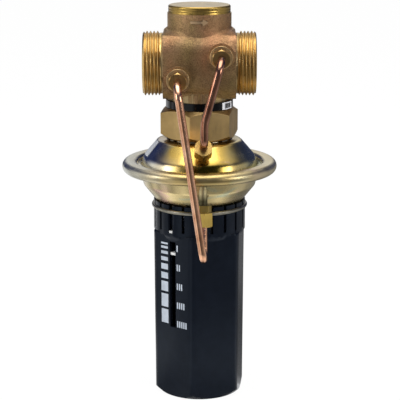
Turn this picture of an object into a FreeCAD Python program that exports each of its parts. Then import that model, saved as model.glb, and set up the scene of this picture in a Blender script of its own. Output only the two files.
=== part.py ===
import FreeCAD, Part
import Sketcher
import math
import os
from types import SimpleNamespace

# Differential pressure relief valve: cast body, diaphragm actuator below it, impulse tubes and
# setting handle. Origin where the pipe axis meets the stem axis; X along the pipe towards the outlet,
# Z up the stem, the tubes on the -Y side. Millimetres.

doc = FreeCAD.newDocument("relief_valve")
sheet = doc.addObject("Spreadsheet::Sheet", "sizes")

driving_sizes = [
    # cast body
    ("body_length", 73.6, "end to end along the pipe"),
    ("block_length", 47.2, "cast block along the pipe"),
    ("block_depth", 48.0, "cast block front to back"),
    ("block_rise", 22.6, "cast block above the pipe axis"),
    ("block_drop", 21.5, "cast block below the pipe axis"),
    ("block_bevel", 2.6, "upper corners over the spigots"),
    ("block_round", 12.0, "long edges of the block"),
    ("spigot_dia", 41.91, "G 1 1/4 outside"),
    ("spigot_chamfer", 1.3, "lead-in at the spigot end"),
    ("undercut_dia", 39.6, "thread relief at the block"),
    ("undercut_width", 1.8, "thread relief width"),
    ("port_dia", 26.0, "bore of both ports"),
    ("port_web", 2.0, "wall between a port's blind end and the chamber"),
    ("chamber_dia", 34.0, "bore above and below the seat web"),
    ("web_height", 6.0, "seat web"),
    ("passage_width", 15.0, "cast passage from port to chamber"),
    ("passage_height", 8.0, "cast passage from port to chamber"),
    ("neck_dia", 41.6, "upper neck"),
    ("neck_length", 10.6, "upper neck above the block"),
    ("neck_fillet", 1.6, "cast fillet at the upper neck"),
    ("skirt_dia", 43.0, "machined land under the block"),
    ("skirt_length", 6.8, "machined land under the block"),
    ("neck_thread_dia", 40.0, "lower neck, inside the union nut"),
    ("neck_thread_length", 10.0, "lower neck, inside the union nut"),
    ("tap_x", 13.8, "impulse tapping from the stem axis"),
    ("tap_z", 7.3, "impulse tapping from the pipe axis"),
    ("boss_dia", 17.6, "cast boss round a tapping"),
    ("boss_height", 2.0, "cast boss in front of the block"),
    # seat, cap and guide
    ("seat_bore", 22.0, "flow opening"),
    ("seat_dia", 27.0, "seat ring in the web"),
    ("seat_flange_dia", 31.0, "seat ring above the web"),
    ("seat_flange_height", 2.5, "seat ring above the web"),
    ("cap_dia", 40.4, "cap on the upper neck"),
    ("cap_height", 5.0, "cap above the neck"),
    ("cap_round", 1.2, "cap's top edge"),
    ("cap_dimple_dia", 2.6, "lathe centre in the cap"),
    ("cap_plug_length", 8.0, "cap inside the neck"),
    ("cylinder_dia", 26.0, "outside of the cone's balance cylinder"),
    ("guide_dia", 35.0, "stem guide in the lower neck"),
    ("guide_length", 13.0, "stem guide"),
    ("ring_wire", 1.8, "section of the small seal rings"),
    # cone and stem
    ("lift", 5.0, "cone travel"),
    ("seal_thick", 2.0, "soft ring under the cone"),
    ("cone_dia", 26.8, "cone disc"),
    ("cone_disc", 3.5, "cone disc height"),
    ("plug_depth", 7.5, "cone's guide below the seal"),
    ("piston_dia", 20.3, "cone's balance piston"),
    ("piston_height", 12.5, "cone's balance piston"),
    ("stem_dia", 8.0, "valve stem"),
    ("cone_nut_flats", 12.0, "nut on the valve stem"),
    ("cone_nut_height", 4.0, "nut on the valve stem"),
    # union
    ("band_length", 4.7, "black band under the block"),
    ("band_thick", 0.5, "black band"),
    ("tag_thick", 0.25, "tag on the band"),
    ("tag_start", 42.0, "tag's first edge, degrees from the front"),
    ("tag_span", 27.0, "tag's width in degrees"),
    ("nut_flats", 46.0, "union nut"),
    ("nut_length", 19.9, "union nut"),
    ("nut_turn", 16.4, "turn of the union nut's corners, degrees"),
    ("nut_chamfer_dia", 44.0, "union nut's end faces"),
    ("nut_chamfer_height", 3.4, "union nut's chamfers"),
    ("gasket_thick", 1.2, "washer under the lower neck"),
    ("tail_flange_dia", 39.0, "actuator tail inside the union nut"),
    ("tail_flange_height", 3.2, "actuator tail inside the union nut"),
    ("tail_dia", 32.0, "actuator tail through the union nut"),
    ("tail_bore", 18.0, "actuator tail"),
    ("tail_spigot_dia", 28.0, "actuator tail through the casing"),
    ("lock_nut_dia", 38.0, "round nut inside the upper casing"),
    ("lock_nut_height", 4.0, "round nuts inside the casings"),
    # casings and diaphragm
    ("casing_sheet", 1.5, "pressed sheet"),
    ("land_dia", 43.4, "raised land on the upper casing"),
    ("land_height", 1.1, "raised land on the upper casing"),
    ("shoulder_dia", 54.4, "upper casing, flat top"),
    ("knee_dia", 70.8, "upper casing, foot of the cone"),
    ("knee_drop", 9.6, "upper casing, foot of the cone"),
    ("foot_dia", 73.6, "upper casing at the gutter"),
    ("dome_height", 17.4, "upper casing, flat top to gutter"),
    ("flange_dia", 95.2, "clamped flange"),
    ("bead_dia", 102.4, "rolled bead outside"),
    ("bead_inner_dia", 82.4, "rolled bead inside"),
    ("bead_rise", 3.5, "rolled bead above the gutter"),
    ("bowl_mouth_dia", 78.0, "lower casing under the bead"),
    ("bowl_knee_dia", 74.0, "lower casing's knee"),
    ("bowl_knee_drop", 8.4, "lower casing's knee"),
    ("bowl_floor_dia", 47.6, "lower casing's floor"),
    ("bowl_depth", 24.9, "lower casing's floor"),
    ("press_round", 4.0, "pressed corners of both casings"),
    ("diaphragm_thick", 1.4, "diaphragm"),
    ("diaphragm_sag", 2.2, "diaphragm's middle below its rim"),
    ("roll_rise", 1.7, "diaphragm's roll above its rim"),
    ("plate_dia", 59.0, "diaphragm plates"),
    ("plate_thick", 1.5, "diaphragm plates"),
    ("plate_skirt", 3.0, "lower plate's turned rim"),
    ("plate_nut_flats", 16.0, "nut over the diaphragm plates"),
    ("plate_nut_height", 6.0, "nut over the diaphragm plates"),
    ("label_span", 58.0, "sticker on the upper casing, degrees"),
    ("label_lead", 40.0, "sticker's back edge, degrees behind the left side"),
    ("label_thick", 0.2, "sticker"),
    ("label_inset", 1.2, "sticker's edge from the cone's ends"),
    # actuator stem and sleeve
    ("spindle_dia", 10.0, "actuator stem"),
    ("spindle_collar_dia", 18.0, "collar under the diaphragm plates"),
    ("spindle_collar", 3.0, "collar under the diaphragm plates"),
    ("stub_thread_dia", 5.0, "valve stem screwed into the actuator stem"),
    ("stub_thread_length", 8.0, "valve stem screwed into the actuator stem"),
    ("spindle_end_dia", 8.0, "actuator stem at the spring plate"),
    ("sleeve_dia", 24.0, "threaded sleeve"),
    ("sleeve_length", 86.0, "threaded sleeve below its flange"),
    ("sleeve_flange_dia", 44.0, "sleeve flange under the bowl"),
    ("sleeve_flange_height", 3.0, "sleeve flange under the bowl"),
    ("sleeve_spigot_dia", 20.0, "sleeve through the bowl's floor"),
    ("sleeve_nut_dia", 32.0, "round nut inside the lower casing"),
    ("swivel_bite", 0.7, "collar behind the fingers' hooks"),
    ("swivel_height", 4.0, "collar that carries the handle"),
    # handle
    ("handle_turn", -38.5, "scale slot from the front, degrees"),
    ("mouth_clear", 0.6, "fingers' mouth round the bowl"),
    ("handle_length", 133.0, "handle, top to bottom"),
    ("finger_step", 1.85, "round part with the fingers, proud of the grip's faces"),
    ("lip_wall", 0.85, "fingers at their mouth"),
    ("finger_wall", 3.45, "fingers at their hooks"),
    ("finger_hook_drop", 5.0, "hook below the fingers' top"),
    ("finger_slot_depth", 17.7, "slots between the fingers"),
    ("finger_slot_width", 2.0, "slots between the fingers"),
    ("finger_count", 20.0, "slots between the fingers"),
    ("wide_slot_width", 3.0, "slot over the scale"),
    ("wide_slot_depth", 18.6, "slot over the scale"),
    ("collar_depth", 20.0, "round part before it runs out"),
    ("collar_runout", 4.5, "run-out from round to six-sided"),
    ("grip_face_dia", 57.2, "six-sided grip over its faces"),
    ("corner_rise", 4.15, "grip's corners proud of its faces"),
    ("grip_draft", 0.6, "each side's draw over the grip's length"),
    ("grip_round", 5.5, "grip's upright edges"),
    ("grip_end_inset", 0.4, "grip's round lower edge inside its faces"),
    ("grip_end_round", 1.2, "grip's lower edge"),
    ("grip_wall", 2.8, "grip's wall at its faces"),
    ("grip_floor", 3.0, "grip's end wall"),
    ("scale_top", 24.8, "scale slot below the fingers' top"),
    ("scale_length", 59.0, "scale slot"),
    ("scale_width", 5.0, "scale slot"),
    ("keyway_width", 5.4, "keyways inside the grip's corners"),
    ("keyway_depth", 1.9, "keyways inside the grip's corners"),
    ("wire_dia", 2.6, "retaining ring"),
    ("wire_drop", 4.0, "retaining ring below the fingers' top"),
    ("wire_stand", 0.05, "middle of the retaining ring's wire outside the fingers"),
    ("wire_gap", 7.0, "gap in the retaining ring, degrees"),
    ("mark_height", 1.6, "white mark over the scale"),
    # adjuster
    ("adjuster_drop", 31.5, "adjusting nut's flange below the fingers' top"),
    ("adjuster_flange", 3.2, "adjusting nut's flange"),
    ("adjuster_rim", 1.2, "adjusting nut's flange outside the spring"),
    ("adjuster_hub_wall", 2.8, "adjusting nut's hub"),
    ("adjuster_hub_height", 9.0, "adjusting nut's hub above its flange"),
    ("spring_spigot", 2.5, "spring's locating spigots"),
    ("pointer_height", 1.6, "white pointer in the scale slot"),
    ("pointer_recess", 0.8, "pointer behind the grip's face"),
    ("pointer_seat", 2.0, "pointer's seat in the flange"),
    ("spring_wire", 3.6, "setting spring"),
    ("spring_mean_dia", 38.0, "setting spring"),
    ("spring_turns", 6.0, "setting spring"),
    ("plate_clear", 1.3, "lower spring seat inside the grip"),
    ("spring_plate_thick", 3.0, "lower spring seat"),
    ("foot_room", 2.3, "actuator stem's foot above the grip's end wall"),
    ("plate_lock_flats", 13.0, "nut under the spring plate"),
    ("plate_lock_height", 4.0, "nut under the spring plate"),
    # impulse tubes and their connections
    ("tube_dia", 5.0, "copper tube"),
    ("tube_wall", 0.8, "copper tube"),
    ("impulse_bore", 3.0, "small bores"),
    ("shank_dia", 9.7, "nipple in the body"),
    ("shank_length", 7.0, "nipple in the body"),
    ("collar_dia", 14.6, "nipple's round collar"),
    ("collar_length", 2.5, "nipple's round collar"),
    ("stub_dia", 8.0, "nipple inside its nut"),
    ("stub_length", 4.6, "nipple inside its nut"),
    ("ferrule_length", 2.6, "ferrule"),
    ("fitting_flats", 11.0, "connection nuts"),
    ("fitting_length", 9.0, "connection nuts"),
    ("port_turn", 3.5, "casing ports from the front, degrees"),
    ("port_neck_dia", 5.7, "casing nipple's neck"),
    ("nipple_flats", 9.5, "casing nipple's hexagon"),
    ("upper_port_share", 0.52, "upper port along the cone"),
    ("upper_port_tilt", 32.0, "upper port above level, degrees"),
    ("upper_port_neck", 0.8, "upper port's neck outside the casing"),
    ("upper_port_hex", 3.6, "upper port's nipple"),
    ("port_clear", 2.3, "lower port's nut outside the retaining ring"),
    ("lower_port_sunk", 6.0, "lower port's nipple along the casing's wall"),
    ("lower_port_neck", 6.2, "lower port's neck outside the casing"),
    ("lower_port_hex", 4.8, "lower port's nipple"),
    ("tube_clear", 5.8, "inlet tube's centre in front of the bead"),
    ("inlet_lean", 1.0, "inlet tube's foot further out"),
    ("inlet_drop", 18.7, "inlet tube's turn below the lower port's nut"),
    ("inlet_bend", 7.0, "inlet tube's foot"),
    ("tap_bend", 9.0, "tubes' bends at the body"),
    ("outlet_leg", 50.4, "outlet tube's leg from the stem axis"),
    ("outlet_kink", 12.0, "outlet tube's kink above the upper port"),
    ("outlet_bend", 8.0, "outlet tube at the upper port"),
    # clearances
    ("fit", 0.05, "fixed fits"),
    ("running_fit", 0.08, "sliding and turning fits"),
    ("gap", 0.3, "faces that pass each other"),
    ("loose", 0.4, "moulded pieces that slide"),
]


class Size:
    # A length that carries its number and the sheet expression that gives it.
    def __init__(self, number, text):
        self.number = number
        self.text = text

    def __add__(self, other):
        other = as_size(other)
        return Size(self.number + other.number, f"({self.text} + {other.text})")

    def __sub__(self, other):
        other = as_size(other)
        return Size(self.number - other.number, f"({self.text} - {other.text})")

    def __mul__(self, other):
        other = as_size(other)
        return Size(self.number * other.number, f"({self.text} * {other.text})")

    def __truediv__(self, other):
        other = as_size(other)
        return Size(self.number / other.number, f"({self.text} / {other.text})")

    def __radd__(self, other):
        return as_size(other) + self

    def __rsub__(self, other):
        return as_size(other) - self

    def __rmul__(self, other):
        return as_size(other) * self

    def __neg__(self):
        return Size(-self.number, f"(-{self.text})")


def as_size(value):
    return value if isinstance(value, Size) else Size(float(value), f"({float(value)})")


def root(size):
    return Size(math.sqrt(size.number), f"sqrt({size.text})")


for row, (alias, value, note) in enumerate(driving_sizes, start=1):
    sheet.set(f"A{row}", note)
    sheet.set(f"B{row}", str(value))
    sheet.setAlias(f"B{row}", alias)
doc.recompute()
s = SimpleNamespace()
for alias, value, note in driving_sizes:
    setattr(s, alias, Size(sheet.get(alias), f"sizes.{alias}"))

parts = []


# Building blocks

def new_body(label, z=0.0, turn=None):
    body = doc.addObject("PartDesign::Body", label)
    body.Label = label
    body.setExpression("Placement.Base.z", as_size(z).text)
    if turn is not None:
        body.Placement.Rotation = FreeCAD.Rotation(FreeCAD.Vector(0, 0, 1), turn.number)
        body.setExpression("Placement.Rotation.Angle", turn.text)
    parts.append(body)
    return body


def place_along(body, point, direction):
    # Sets the body's own Z along a direction from a point.
    spin = FreeCAD.Rotation(FreeCAD.Vector(0, 0, 1), direction)
    body.setExpression("Placement.Base.z", None)
    body.Placement = FreeCAD.Placement(point, spin)


def origin_item(body, role):
    return next(item for item in body.Origin.OriginFeatures if item.Role == role)


def new_sketch(body, name, plane, offset=None):
    sketch = body.newObject("Sketcher::SketchObject", f"{body.Name}_{name}")
    sketch.AttachmentSupport = [(origin_item(body, plane), "")]
    sketch.MapMode = "FlatFace"
    if offset is not None:
        sketch.setExpression("AttachmentOffset.Base.z", as_size(offset).text)
    return sketch


def fix_point(sketch, geometry, end, point):
    for kind, size in zip(("DistanceX", "DistanceY"), point):
        number = sketch.addConstraint(Sketcher.Constraint(kind, -1, 1, geometry, end, size.number))
        sketch.setExpression(f"Constraints[{number}]", size.text)


def vector(point):
    return FreeCAD.Vector(point[0].number, point[1].number, 0)


def polygon(body, name, plane, points, offset=None):
    sketch = new_sketch(body, name, plane, offset)
    points = [(as_size(x), as_size(y)) for x, y in points]
    count = len(points)
    for index in range(count):
        end = points[(index + 1) % count]
        sketch.addGeometry(Part.LineSegment(vector(points[index]), vector(end)))
    for index in range(count):
        sketch.addConstraint(Sketcher.Constraint("Coincident", index, 2, (index + 1) % count, 1))
    for index, point in enumerate(points):
        fix_point(sketch, index, 1, point)
    return sketch


def circle(body, name, plane, centres, radius, offset=None):
    sketch = new_sketch(body, name, plane, offset)
    for index, centre in enumerate(centres):
        centre = (as_size(centre[0]), as_size(centre[1]))
        axis = FreeCAD.Vector(0, 0, 1)
        sketch.addGeometry(Part.Circle(vector(centre), axis, radius.number))
        fix_point(sketch, index, 3, centre)
        number = sketch.addConstraint(Sketcher.Constraint("Radius", index, radius.number))
        sketch.setExpression(f"Constraints[{number}]", radius.text)
    return sketch


def feature(body, kind, name, sketch):
    item = body.newObject(f"PartDesign::{kind}", f"{body.Name}_{name}")
    item.Profile = sketch
    return item


def spin(body, name, points, cut=False, axis="V_Axis", angle=None):
    sketch = polygon(body, f"{name}_outline", "XZ_Plane", points)
    item = feature(body, "Groove" if cut else "Revolution", name, sketch)
    item.ReferenceAxis = (sketch, [axis])
    item.Angle = 360
    if angle is not None:
        item.setExpression("Angle", angle.text)
    doc.recompute()
    return item


def raise_from(body, name, sketch, length, midplane=False, reverse=False):
    item = feature(body, "Pad", name, sketch)
    item.setExpression("Length", as_size(length).text)
    item.Midplane = midplane
    item.Reversed = reverse
    doc.recompute()
    return item


def cut_from(body, name, sketch, length, midplane=False, reverse=False):
    before = body.Shape.Volume
    item = feature(body, "Pocket", name, sketch)
    item.setExpression("Length", as_size(length).text)
    item.Midplane = midplane
    item.Reversed = reverse
    doc.recompute()
    if body.Shape.Volume >= before:
        raise RuntimeError(f"{item.Name} cuts nothing")
    return item


def repeat_round(body, name, item, count):
    pattern = body.newObject("PartDesign::PolarPattern", f"{body.Name}_{name}")
    pattern.Originals = [item]
    pattern.Axis = (origin_item(body, "Z_Axis"), [""])
    pattern.Angle = 360
    pattern.setExpression("Occurrences", as_size(count).text)
    body.Tip = pattern
    doc.recompute()
    return pattern


def round_edges(body, name, edges, radius):
    base = body.Tip
    item = body.newObject("PartDesign::Fillet", f"{body.Name}_{name}")
    item.Base = (base, edges)
    item.setExpression("Radius", as_size(radius).text)
    body.Tip = item
    doc.recompute()
    return item


def ring_edges(body, rings):
    # Names the circular edges of the body's tip at the given radii and heights.
    names = []
    for number, edge in enumerate(body.Tip.Shape.Edges, start=1):
        curve = edge.Curve
        if not isinstance(curve, Part.Circle):
            continue
        for radius, height in rings:
            near = abs(curve.Radius - radius.number) < 1e-4 and abs(curve.Center.z - height.number) < 1e-4
            if near:
                names.append(f"Edge{number}")
    return names


def hexagon(flats, turn=0.0):
    reach = flats / math.sqrt(3)
    angles = [math.radians(turn + 60 * corner) for corner in range(6)]
    return [(reach * math.cos(angle), reach * math.sin(angle)) for angle in angles]


def unit_normal(start, end):
    run = (end[0] - start[0], end[1] - start[1])
    length = root(run[0] * run[0] + run[1] * run[1])
    return (run[1] / length, -(run[0] / length))


def inner_line(points, thickness):
    # The line that lies one sheet's thickness to the right of an open run of points.
    normals = [unit_normal(start, end) for start, end in zip(points, points[1:])]
    line = []
    for index, point in enumerate(points):
        before = normals[max(index - 1, 0)]
        after = normals[min(index, len(normals) - 1)]
        spread = 1 + before[0] * after[0] + before[1] * after[1]
        shift = [thickness * (before[axis] + after[axis]) / spread for axis in (0, 1)]
        line.append((point[0] + shift[0], point[1] + shift[1]))
    return line


def pressed_sheet(body, points, thickness, rounds):
    # Turns a sheet of even thickness from its outer line; rounds gives the outer corner radii by index.
    points = [(as_size(r), as_size(z)) for r, z in points]
    inner = inner_line(points, thickness)
    spin(body, "sheet", points + inner[::-1])
    for index, radius in rounds.items():
        before, corner, after = points[index - 1:index + 2]
        turn = ((corner[0].number - before[0].number) * (after[1].number - corner[1].number)
                - (corner[1].number - before[1].number) * (after[0].number - corner[0].number))
        inside = radius - thickness if turn < 0 else radius + thickness
        round_edges(body, f"round_{index}", ring_edges(body, [points[index]]), radius)
        round_edges(body, f"inside_{index}", ring_edges(body, [inner[index]]), inside)


def hex_nut(label, z, flats, height, bore, turn=0.0):
    body = new_body(label, z)
    sketch = polygon(body, "hexagon", "XY_Plane", hexagon(flats, turn))
    raise_from(body, "prism", sketch, height)
    cut_from(body, "bore", circle(body, "bore_outline", "XY_Plane", [(0, 0)], bore), height, reverse=True)
    return body


def seal_ring(label, z, mean_radius, wire):
    ring = doc.addObject("Part::Torus", label)
    ring.Label = label
    ring.setExpression("Radius1", mean_radius.text)
    ring.setExpression("Radius2", (wire / 2).text)
    ring.setExpression("Placement.Base.z", as_size(z).text)
    parts.append(ring)
    return ring


def seal_groove(z, deep, open_side, wire):
    # A square groove for a seal ring, from its deep radius to the open side.
    half = wire / 2 + s.fit
    return [(deep, z - half), (open_side, z - half), (open_side, z + half), (deep, z + half)]


# Levels down the stem axis

stem_r = s.stem_dia / 2
chamber_r = s.chamber_dia / 2
web_top = s.web_height / 2
seat_top = web_top + s.seat_flange_height
neck_top = s.block_rise + s.neck_length
skirt_end = -s.block_drop - s.skirt_length
neck_end = skirt_end - s.neck_thread_length
nut_top = skirt_end - s.gap
nut_end = nut_top - s.nut_length
tail_top = neck_end - s.gasket_thick
tail_flange_end = tail_top - s.tail_flange_height
land_top = nut_end - s.gap
dome_top = land_top - s.land_height
gutter = dome_top - s.dome_height
rim_top = gutter - s.casing_sheet
bowl_top = rim_top - s.diaphragm_thick - s.casing_sheet
bowl_floor = bowl_top - s.bowl_depth
disc_top = rim_top - s.diaphragm_sag
disc_end = disc_top - s.diaphragm_thick
plates_top = disc_top + s.plate_thick
plates_end = disc_end - s.plate_thick
sleeve_end = bowl_floor - s.sleeve_flange_height - s.sleeve_length
swivel_top = bowl_floor - s.sleeve_flange_height
spindle_top = plates_top + s.plate_nut_height + s.gap

# Round sizes of the handle, from its faces outwards and inwards

finger_r = s.grip_face_dia / 2 + s.finger_step
lip_r = finger_r - s.lip_wall
hook_r = finger_r - s.finger_wall
swivel_r = hook_r + s.swivel_bite
wire_ring_r = finger_r + s.wire_stand
corner_r = s.grip_face_dia / 2 + s.corner_rise
grip_bore_r = s.grip_face_dia / 2 - s.grip_wall
keyway_r = grip_bore_r + s.keyway_depth

# The handle hangs where its mouth just clears the bowl; the spring fills what is left inside it.

bowl_slope = (s.bowl_depth - s.bowl_knee_drop) / (s.bowl_knee_dia / 2 - s.bowl_floor_dia / 2)
handle_top = bowl_floor + (lip_r - s.mouth_clear - s.bowl_floor_dia / 2) * bowl_slope
adjuster_top = handle_top - s.adjuster_drop
adjuster_end = adjuster_top - s.adjuster_flange
spindle_foot = handle_top - s.handle_length + s.grip_floor + s.foot_room
plate_end = spindle_foot + s.plate_lock_height
plate_top = plate_end + s.spring_plate_thick
spring_length = adjuster_end - plate_top


# Valve body and what it holds

def make_valve_body():
    body = new_body("valve_body")
    half_depth = s.block_depth / 2
    half_length = s.block_length / 2
    section = [(-half_depth, -s.block_drop), (half_depth, -s.block_drop),
               (half_depth, s.block_rise), (-half_depth, s.block_rise)]
    raise_from(body, "block", polygon(body, "section", "YZ_Plane", section), s.block_length, midplane=True)
    long_edges = [f"Edge{number}" for number, edge in enumerate(body.Tip.Shape.Edges, start=1)
                  if abs(edge.Length - s.block_length.number) < 1e-6 and edge.BoundBox.XLength > 1]
    round_edges(body, "block_rounds", long_edges, s.block_round)

    spin(body, "neck", [(0, 0), (s.neck_dia / 2, 0), (s.neck_dia / 2, neck_top), (0, neck_top)])
    junction = [f"Edge{number}" for number, edge in enumerate(body.Tip.Shape.Edges, start=1)
                if on_cylinder(edge, s.neck_dia.number / 2) and edge.BoundBox.ZMax < neck_top.number - 0.5]
    round_edges(body, "neck_fillet", junction, s.neck_fillet)
    for name, way in (("inlet", -1), ("outlet", 1)):
        end = half_length * way
        inside = (half_length - s.block_bevel) * way
        corner = [(inside, s.block_rise), (end, s.block_rise), (end, s.block_rise - s.block_bevel)]
        outline = polygon(body, f"{name}_bevel_outline", "XZ_Plane", corner)
        cut_from(body, f"{name}_bevel", outline, s.block_depth, midplane=True)

    thread_r = s.neck_thread_dia / 2
    skirt_r = s.skirt_dia / 2
    spin(body, "lower_neck", [(0, 0), (skirt_r, 0), (skirt_r, skirt_end), (thread_r, skirt_end),
                              (thread_r, neck_end), (0, neck_end)])

    spigot_r = s.spigot_dia / 2
    half_body = s.body_length / 2
    relief = half_length + s.undercut_width
    lead = half_body - s.spigot_chamfer
    side = [(relief, s.undercut_dia / 2), (relief, spigot_r), (lead, spigot_r),
            (half_body, spigot_r - s.spigot_chamfer)]
    mirrored = [(-x, r) for x, r in side[::-1]]
    spin(body, "spigots", [(-half_body, 0), *mirrored, *side, (half_body, 0)], axis="H_Axis")

    taps = [(-s.tap_x, -s.tap_z), (s.tap_x, s.tap_z)]
    boss_root = s.boss_height
    bosses = circle(body, "boss_outline", "XZ_Plane", taps, s.boss_dia / 2, half_depth - boss_root)
    raise_from(body, "bosses", bosses, boss_root + s.boss_height)

    guide_r = s.guide_dia / 2
    guide_top = neck_end + s.guide_length
    upper = [(0, web_top), (chamber_r, web_top), (chamber_r, neck_top), (0, neck_top)]
    spin(body, "upper_chamber", upper, cut=True)
    lower = [(0, neck_end), (guide_r, neck_end), (guide_r, guide_top), (chamber_r, guide_top),
             (chamber_r, -web_top), (0, -web_top)]
    spin(body, "lower_chamber", lower, cut=True)
    seat_r = s.seat_dia / 2
    spin(body, "seat_hole", [(0, -web_top), (seat_r, -web_top), (seat_r, web_top), (0, web_top)], cut=True)

    port_r = s.port_dia / 2
    blind = chamber_r + s.port_web
    for name, way in (("inlet", -1), ("outlet", 1)):
        bore = [(blind * way, 0), (half_body * way, 0), (half_body * way, port_r), (blind * way, port_r)]
        spin(body, f"{name}_port", bore, cut=True, axis="H_Axis")
        low = (web_top + s.gap) * way
        high = low + s.passage_height * way
        half = s.passage_width / 2
        window = [(-half, low), (half, low), (half, high), (-half, high)]
        inner_x = (chamber_r / 2) * way
        passage = polygon(body, f"{name}_passage_outline", "YZ_Plane", window, inner_x)
        reach = blind - chamber_r / 2 + s.gap
        cut_from(body, f"{name}_passage", passage, reach, reverse=way > 0)

    face = half_depth + s.boss_height
    shanks = circle(body, "tap_outline", "XZ_Plane", taps, s.shank_dia / 2 + s.fit, face)
    cut_from(body, "taps", shanks, s.shank_length + s.gap)
    bores = circle(body, "tap_bore_outline", "XZ_Plane", taps, s.impulse_bore / 2, face)
    cut_from(body, "tap_bores", bores, face - s.chamber_dia / 8)


def on_cylinder(edge, radius):
    # True for an edge that lies on an upright cylinder about the stem axis.
    points = edge.discretize(5)
    return all(abs(math.hypot(point.x, point.y) - radius) < 1e-3 for point in points)


def make_seat_ring():
    body = new_body("seat_ring")
    bore = s.seat_bore / 2
    hole = s.seat_dia / 2 - s.fit
    flange = s.seat_flange_dia / 2
    spin(body, "ring", [(bore, -web_top), (hole, -web_top), (hole, web_top), (flange, web_top),
                        (flange, seat_top), (bore, seat_top)])


cylinder_bore = s.piston_dia / 2 + s.running_fit
cone_seat = seat_top + s.fit
disc_base = cone_seat + s.seal_thick
piston_base = disc_base + s.cone_disc
piston_top = piston_base + s.piston_height
cylinder_end = piston_base + s.lift + s.gap
seal_offset = s.ring_wire / 2 + s.fit


def make_body_cap():
    body = new_body("body_cap")
    cap_top = neck_top + s.cap_height
    cap_r = s.cap_dia / 2
    plug_r = chamber_r - s.fit
    plug_end = neck_top - s.cap_plug_length
    barrel = s.cylinder_dia / 2
    spin(body, "cap", [(0, neck_top), (cylinder_bore, neck_top), (cylinder_bore, cylinder_end),
                       (barrel, cylinder_end), (barrel, plug_end), (plug_r, plug_end), (plug_r, neck_top),
                       (cap_r, neck_top), (cap_r, cap_top), (0, cap_top)])
    round_edges(body, "top_edge", ring_edges(body, [(cap_r, cap_top)]), s.cap_round)
    dimple = s.cap_dimple_dia / 2
    spin(body, "dimple", [(0, cap_top - dimple), (dimple, cap_top), (0, cap_top)], cut=True)
    groove_z = neck_top - s.cap_plug_length / 2
    deep = chamber_r - s.ring_wire - s.fit * 2
    spin(body, "seal_groove", seal_groove(groove_z, deep, plug_r, s.ring_wire), cut=True)
    seal_ring("cap_o_ring", groove_z, chamber_r - seal_offset, s.ring_wire)


def make_stem_guide():
    body = new_body("stem_guide")
    outer = s.guide_dia / 2 - s.fit
    bore = stem_r + s.running_fit
    top = neck_end + s.guide_length
    spin(body, "insert", [(bore, neck_end), (outer, neck_end), (outer, top), (bore, top)])
    middle = neck_end + s.guide_length / 2
    deep = s.guide_dia / 2 - s.ring_wire - s.fit * 2
    spin(body, "outer_groove", seal_groove(middle, deep, outer, s.ring_wire), cut=True)
    shallow = stem_r + s.ring_wire + s.fit * 2
    spin(body, "inner_groove", seal_groove(middle, bore, shallow, s.ring_wire), cut=True)
    seal_ring("guide_o_ring", middle, s.guide_dia / 2 - seal_offset, s.ring_wire)
    seal_ring("stem_o_ring", middle, stem_r + seal_offset, s.ring_wire)


def make_band():
    inner = s.skirt_dia / 2 + s.fit
    outer = inner + s.band_thick
    band_end = skirt_end + s.fit * 2
    band = new_body("id_band", band_end)
    spin(band, "band", [(inner, 0), (outer, 0), (outer, s.band_length), (inner, s.band_length)])
    # The tag starts at its own angle from the front, which is a quarter turn behind the profile's plane.
    tag = new_body("band_label", band_end, s.tag_start - 90)
    face = outer + s.tag_thick
    spin(tag, "tag", [(outer, 0), (face, 0), (face, s.band_length), (outer, s.band_length)], angle=s.tag_span)


def make_union():
    nut = new_body("union_nut", nut_end)
    flats = polygon(nut, "hexagon", "XY_Plane", hexagon(s.nut_flats, s.nut_turn.number))
    raise_from(nut, "prism", flats, s.nut_length)
    corner = s.nut_flats / math.sqrt(3) + s.gap
    face = s.nut_chamfer_dia / 2
    slope = s.nut_chamfer_height
    spin(nut, "lower_chamfer", [(face, 0), (corner, 0), (corner, slope)], cut=True)
    top = s.nut_length
    spin(nut, "upper_chamfer", [(face, top), (corner, top), (corner, top - slope)], cut=True)
    lip = tail_flange_end - nut_end - s.fit
    thread_r = s.neck_thread_dia / 2 + s.fit
    tail_r = s.tail_dia / 2 + s.gap
    spin(nut, "bore", [(0, 0), (tail_r, 0), (tail_r, lip), (thread_r, lip), (thread_r, s.nut_length),
                       (0, s.nut_length)], cut=True)

    gasket = new_body("tail_gasket", tail_top)
    outer = s.tail_flange_dia / 2
    bore = s.tail_bore / 2
    spin(gasket, "washer", [(bore, 0), (outer, 0), (outer, s.gasket_thick), (bore, s.gasket_thick)])

    tail = new_body("actuator_tail", land_top)
    spigot = s.tail_spigot_dia / 2 - s.fit
    neck = s.tail_dia / 2
    under = s.casing_sheet + s.lock_nut_height + s.gap
    flange_end = tail_flange_end - land_top
    flange_top = tail_top - land_top
    spin(tail, "tail", [(bore, -under), (spigot, -under), (spigot, 0), (neck, 0), (neck, flange_end),
                        (outer, flange_end), (outer, flange_top), (bore, flange_top)])

    lock = new_body("tail_lock_nut", land_top - s.casing_sheet - s.lock_nut_height)
    ring = s.tail_spigot_dia / 2
    rim = s.lock_nut_dia / 2
    spin(lock, "nut", [(ring, 0), (rim, 0), (rim, s.lock_nut_height), (ring, s.lock_nut_height)])


# Casings, ports and diaphragm

shoulder = (s.shoulder_dia / 2, as_size(0))
knee = (s.knee_dia / 2, -s.knee_drop)
upper_port = tuple(start + (end - start) * s.upper_port_share for start, end in zip(shoulder, knee))
bowl_knee = (s.bowl_knee_dia / 2, -s.bowl_knee_drop)

# The lower port leans out just enough for its nut to pass the retaining ring.
nut_reach = s.lower_port_neck + s.lower_port_hex + s.fitting_length
nut_axis_r = wire_ring_r + s.wire_dia / 2 + s.port_clear + s.fitting_flats / math.sqrt(3)
lower_port_tilt = math.degrees(math.asin((nut_axis_r - bowl_knee[0]).number / nut_reach.number))


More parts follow.
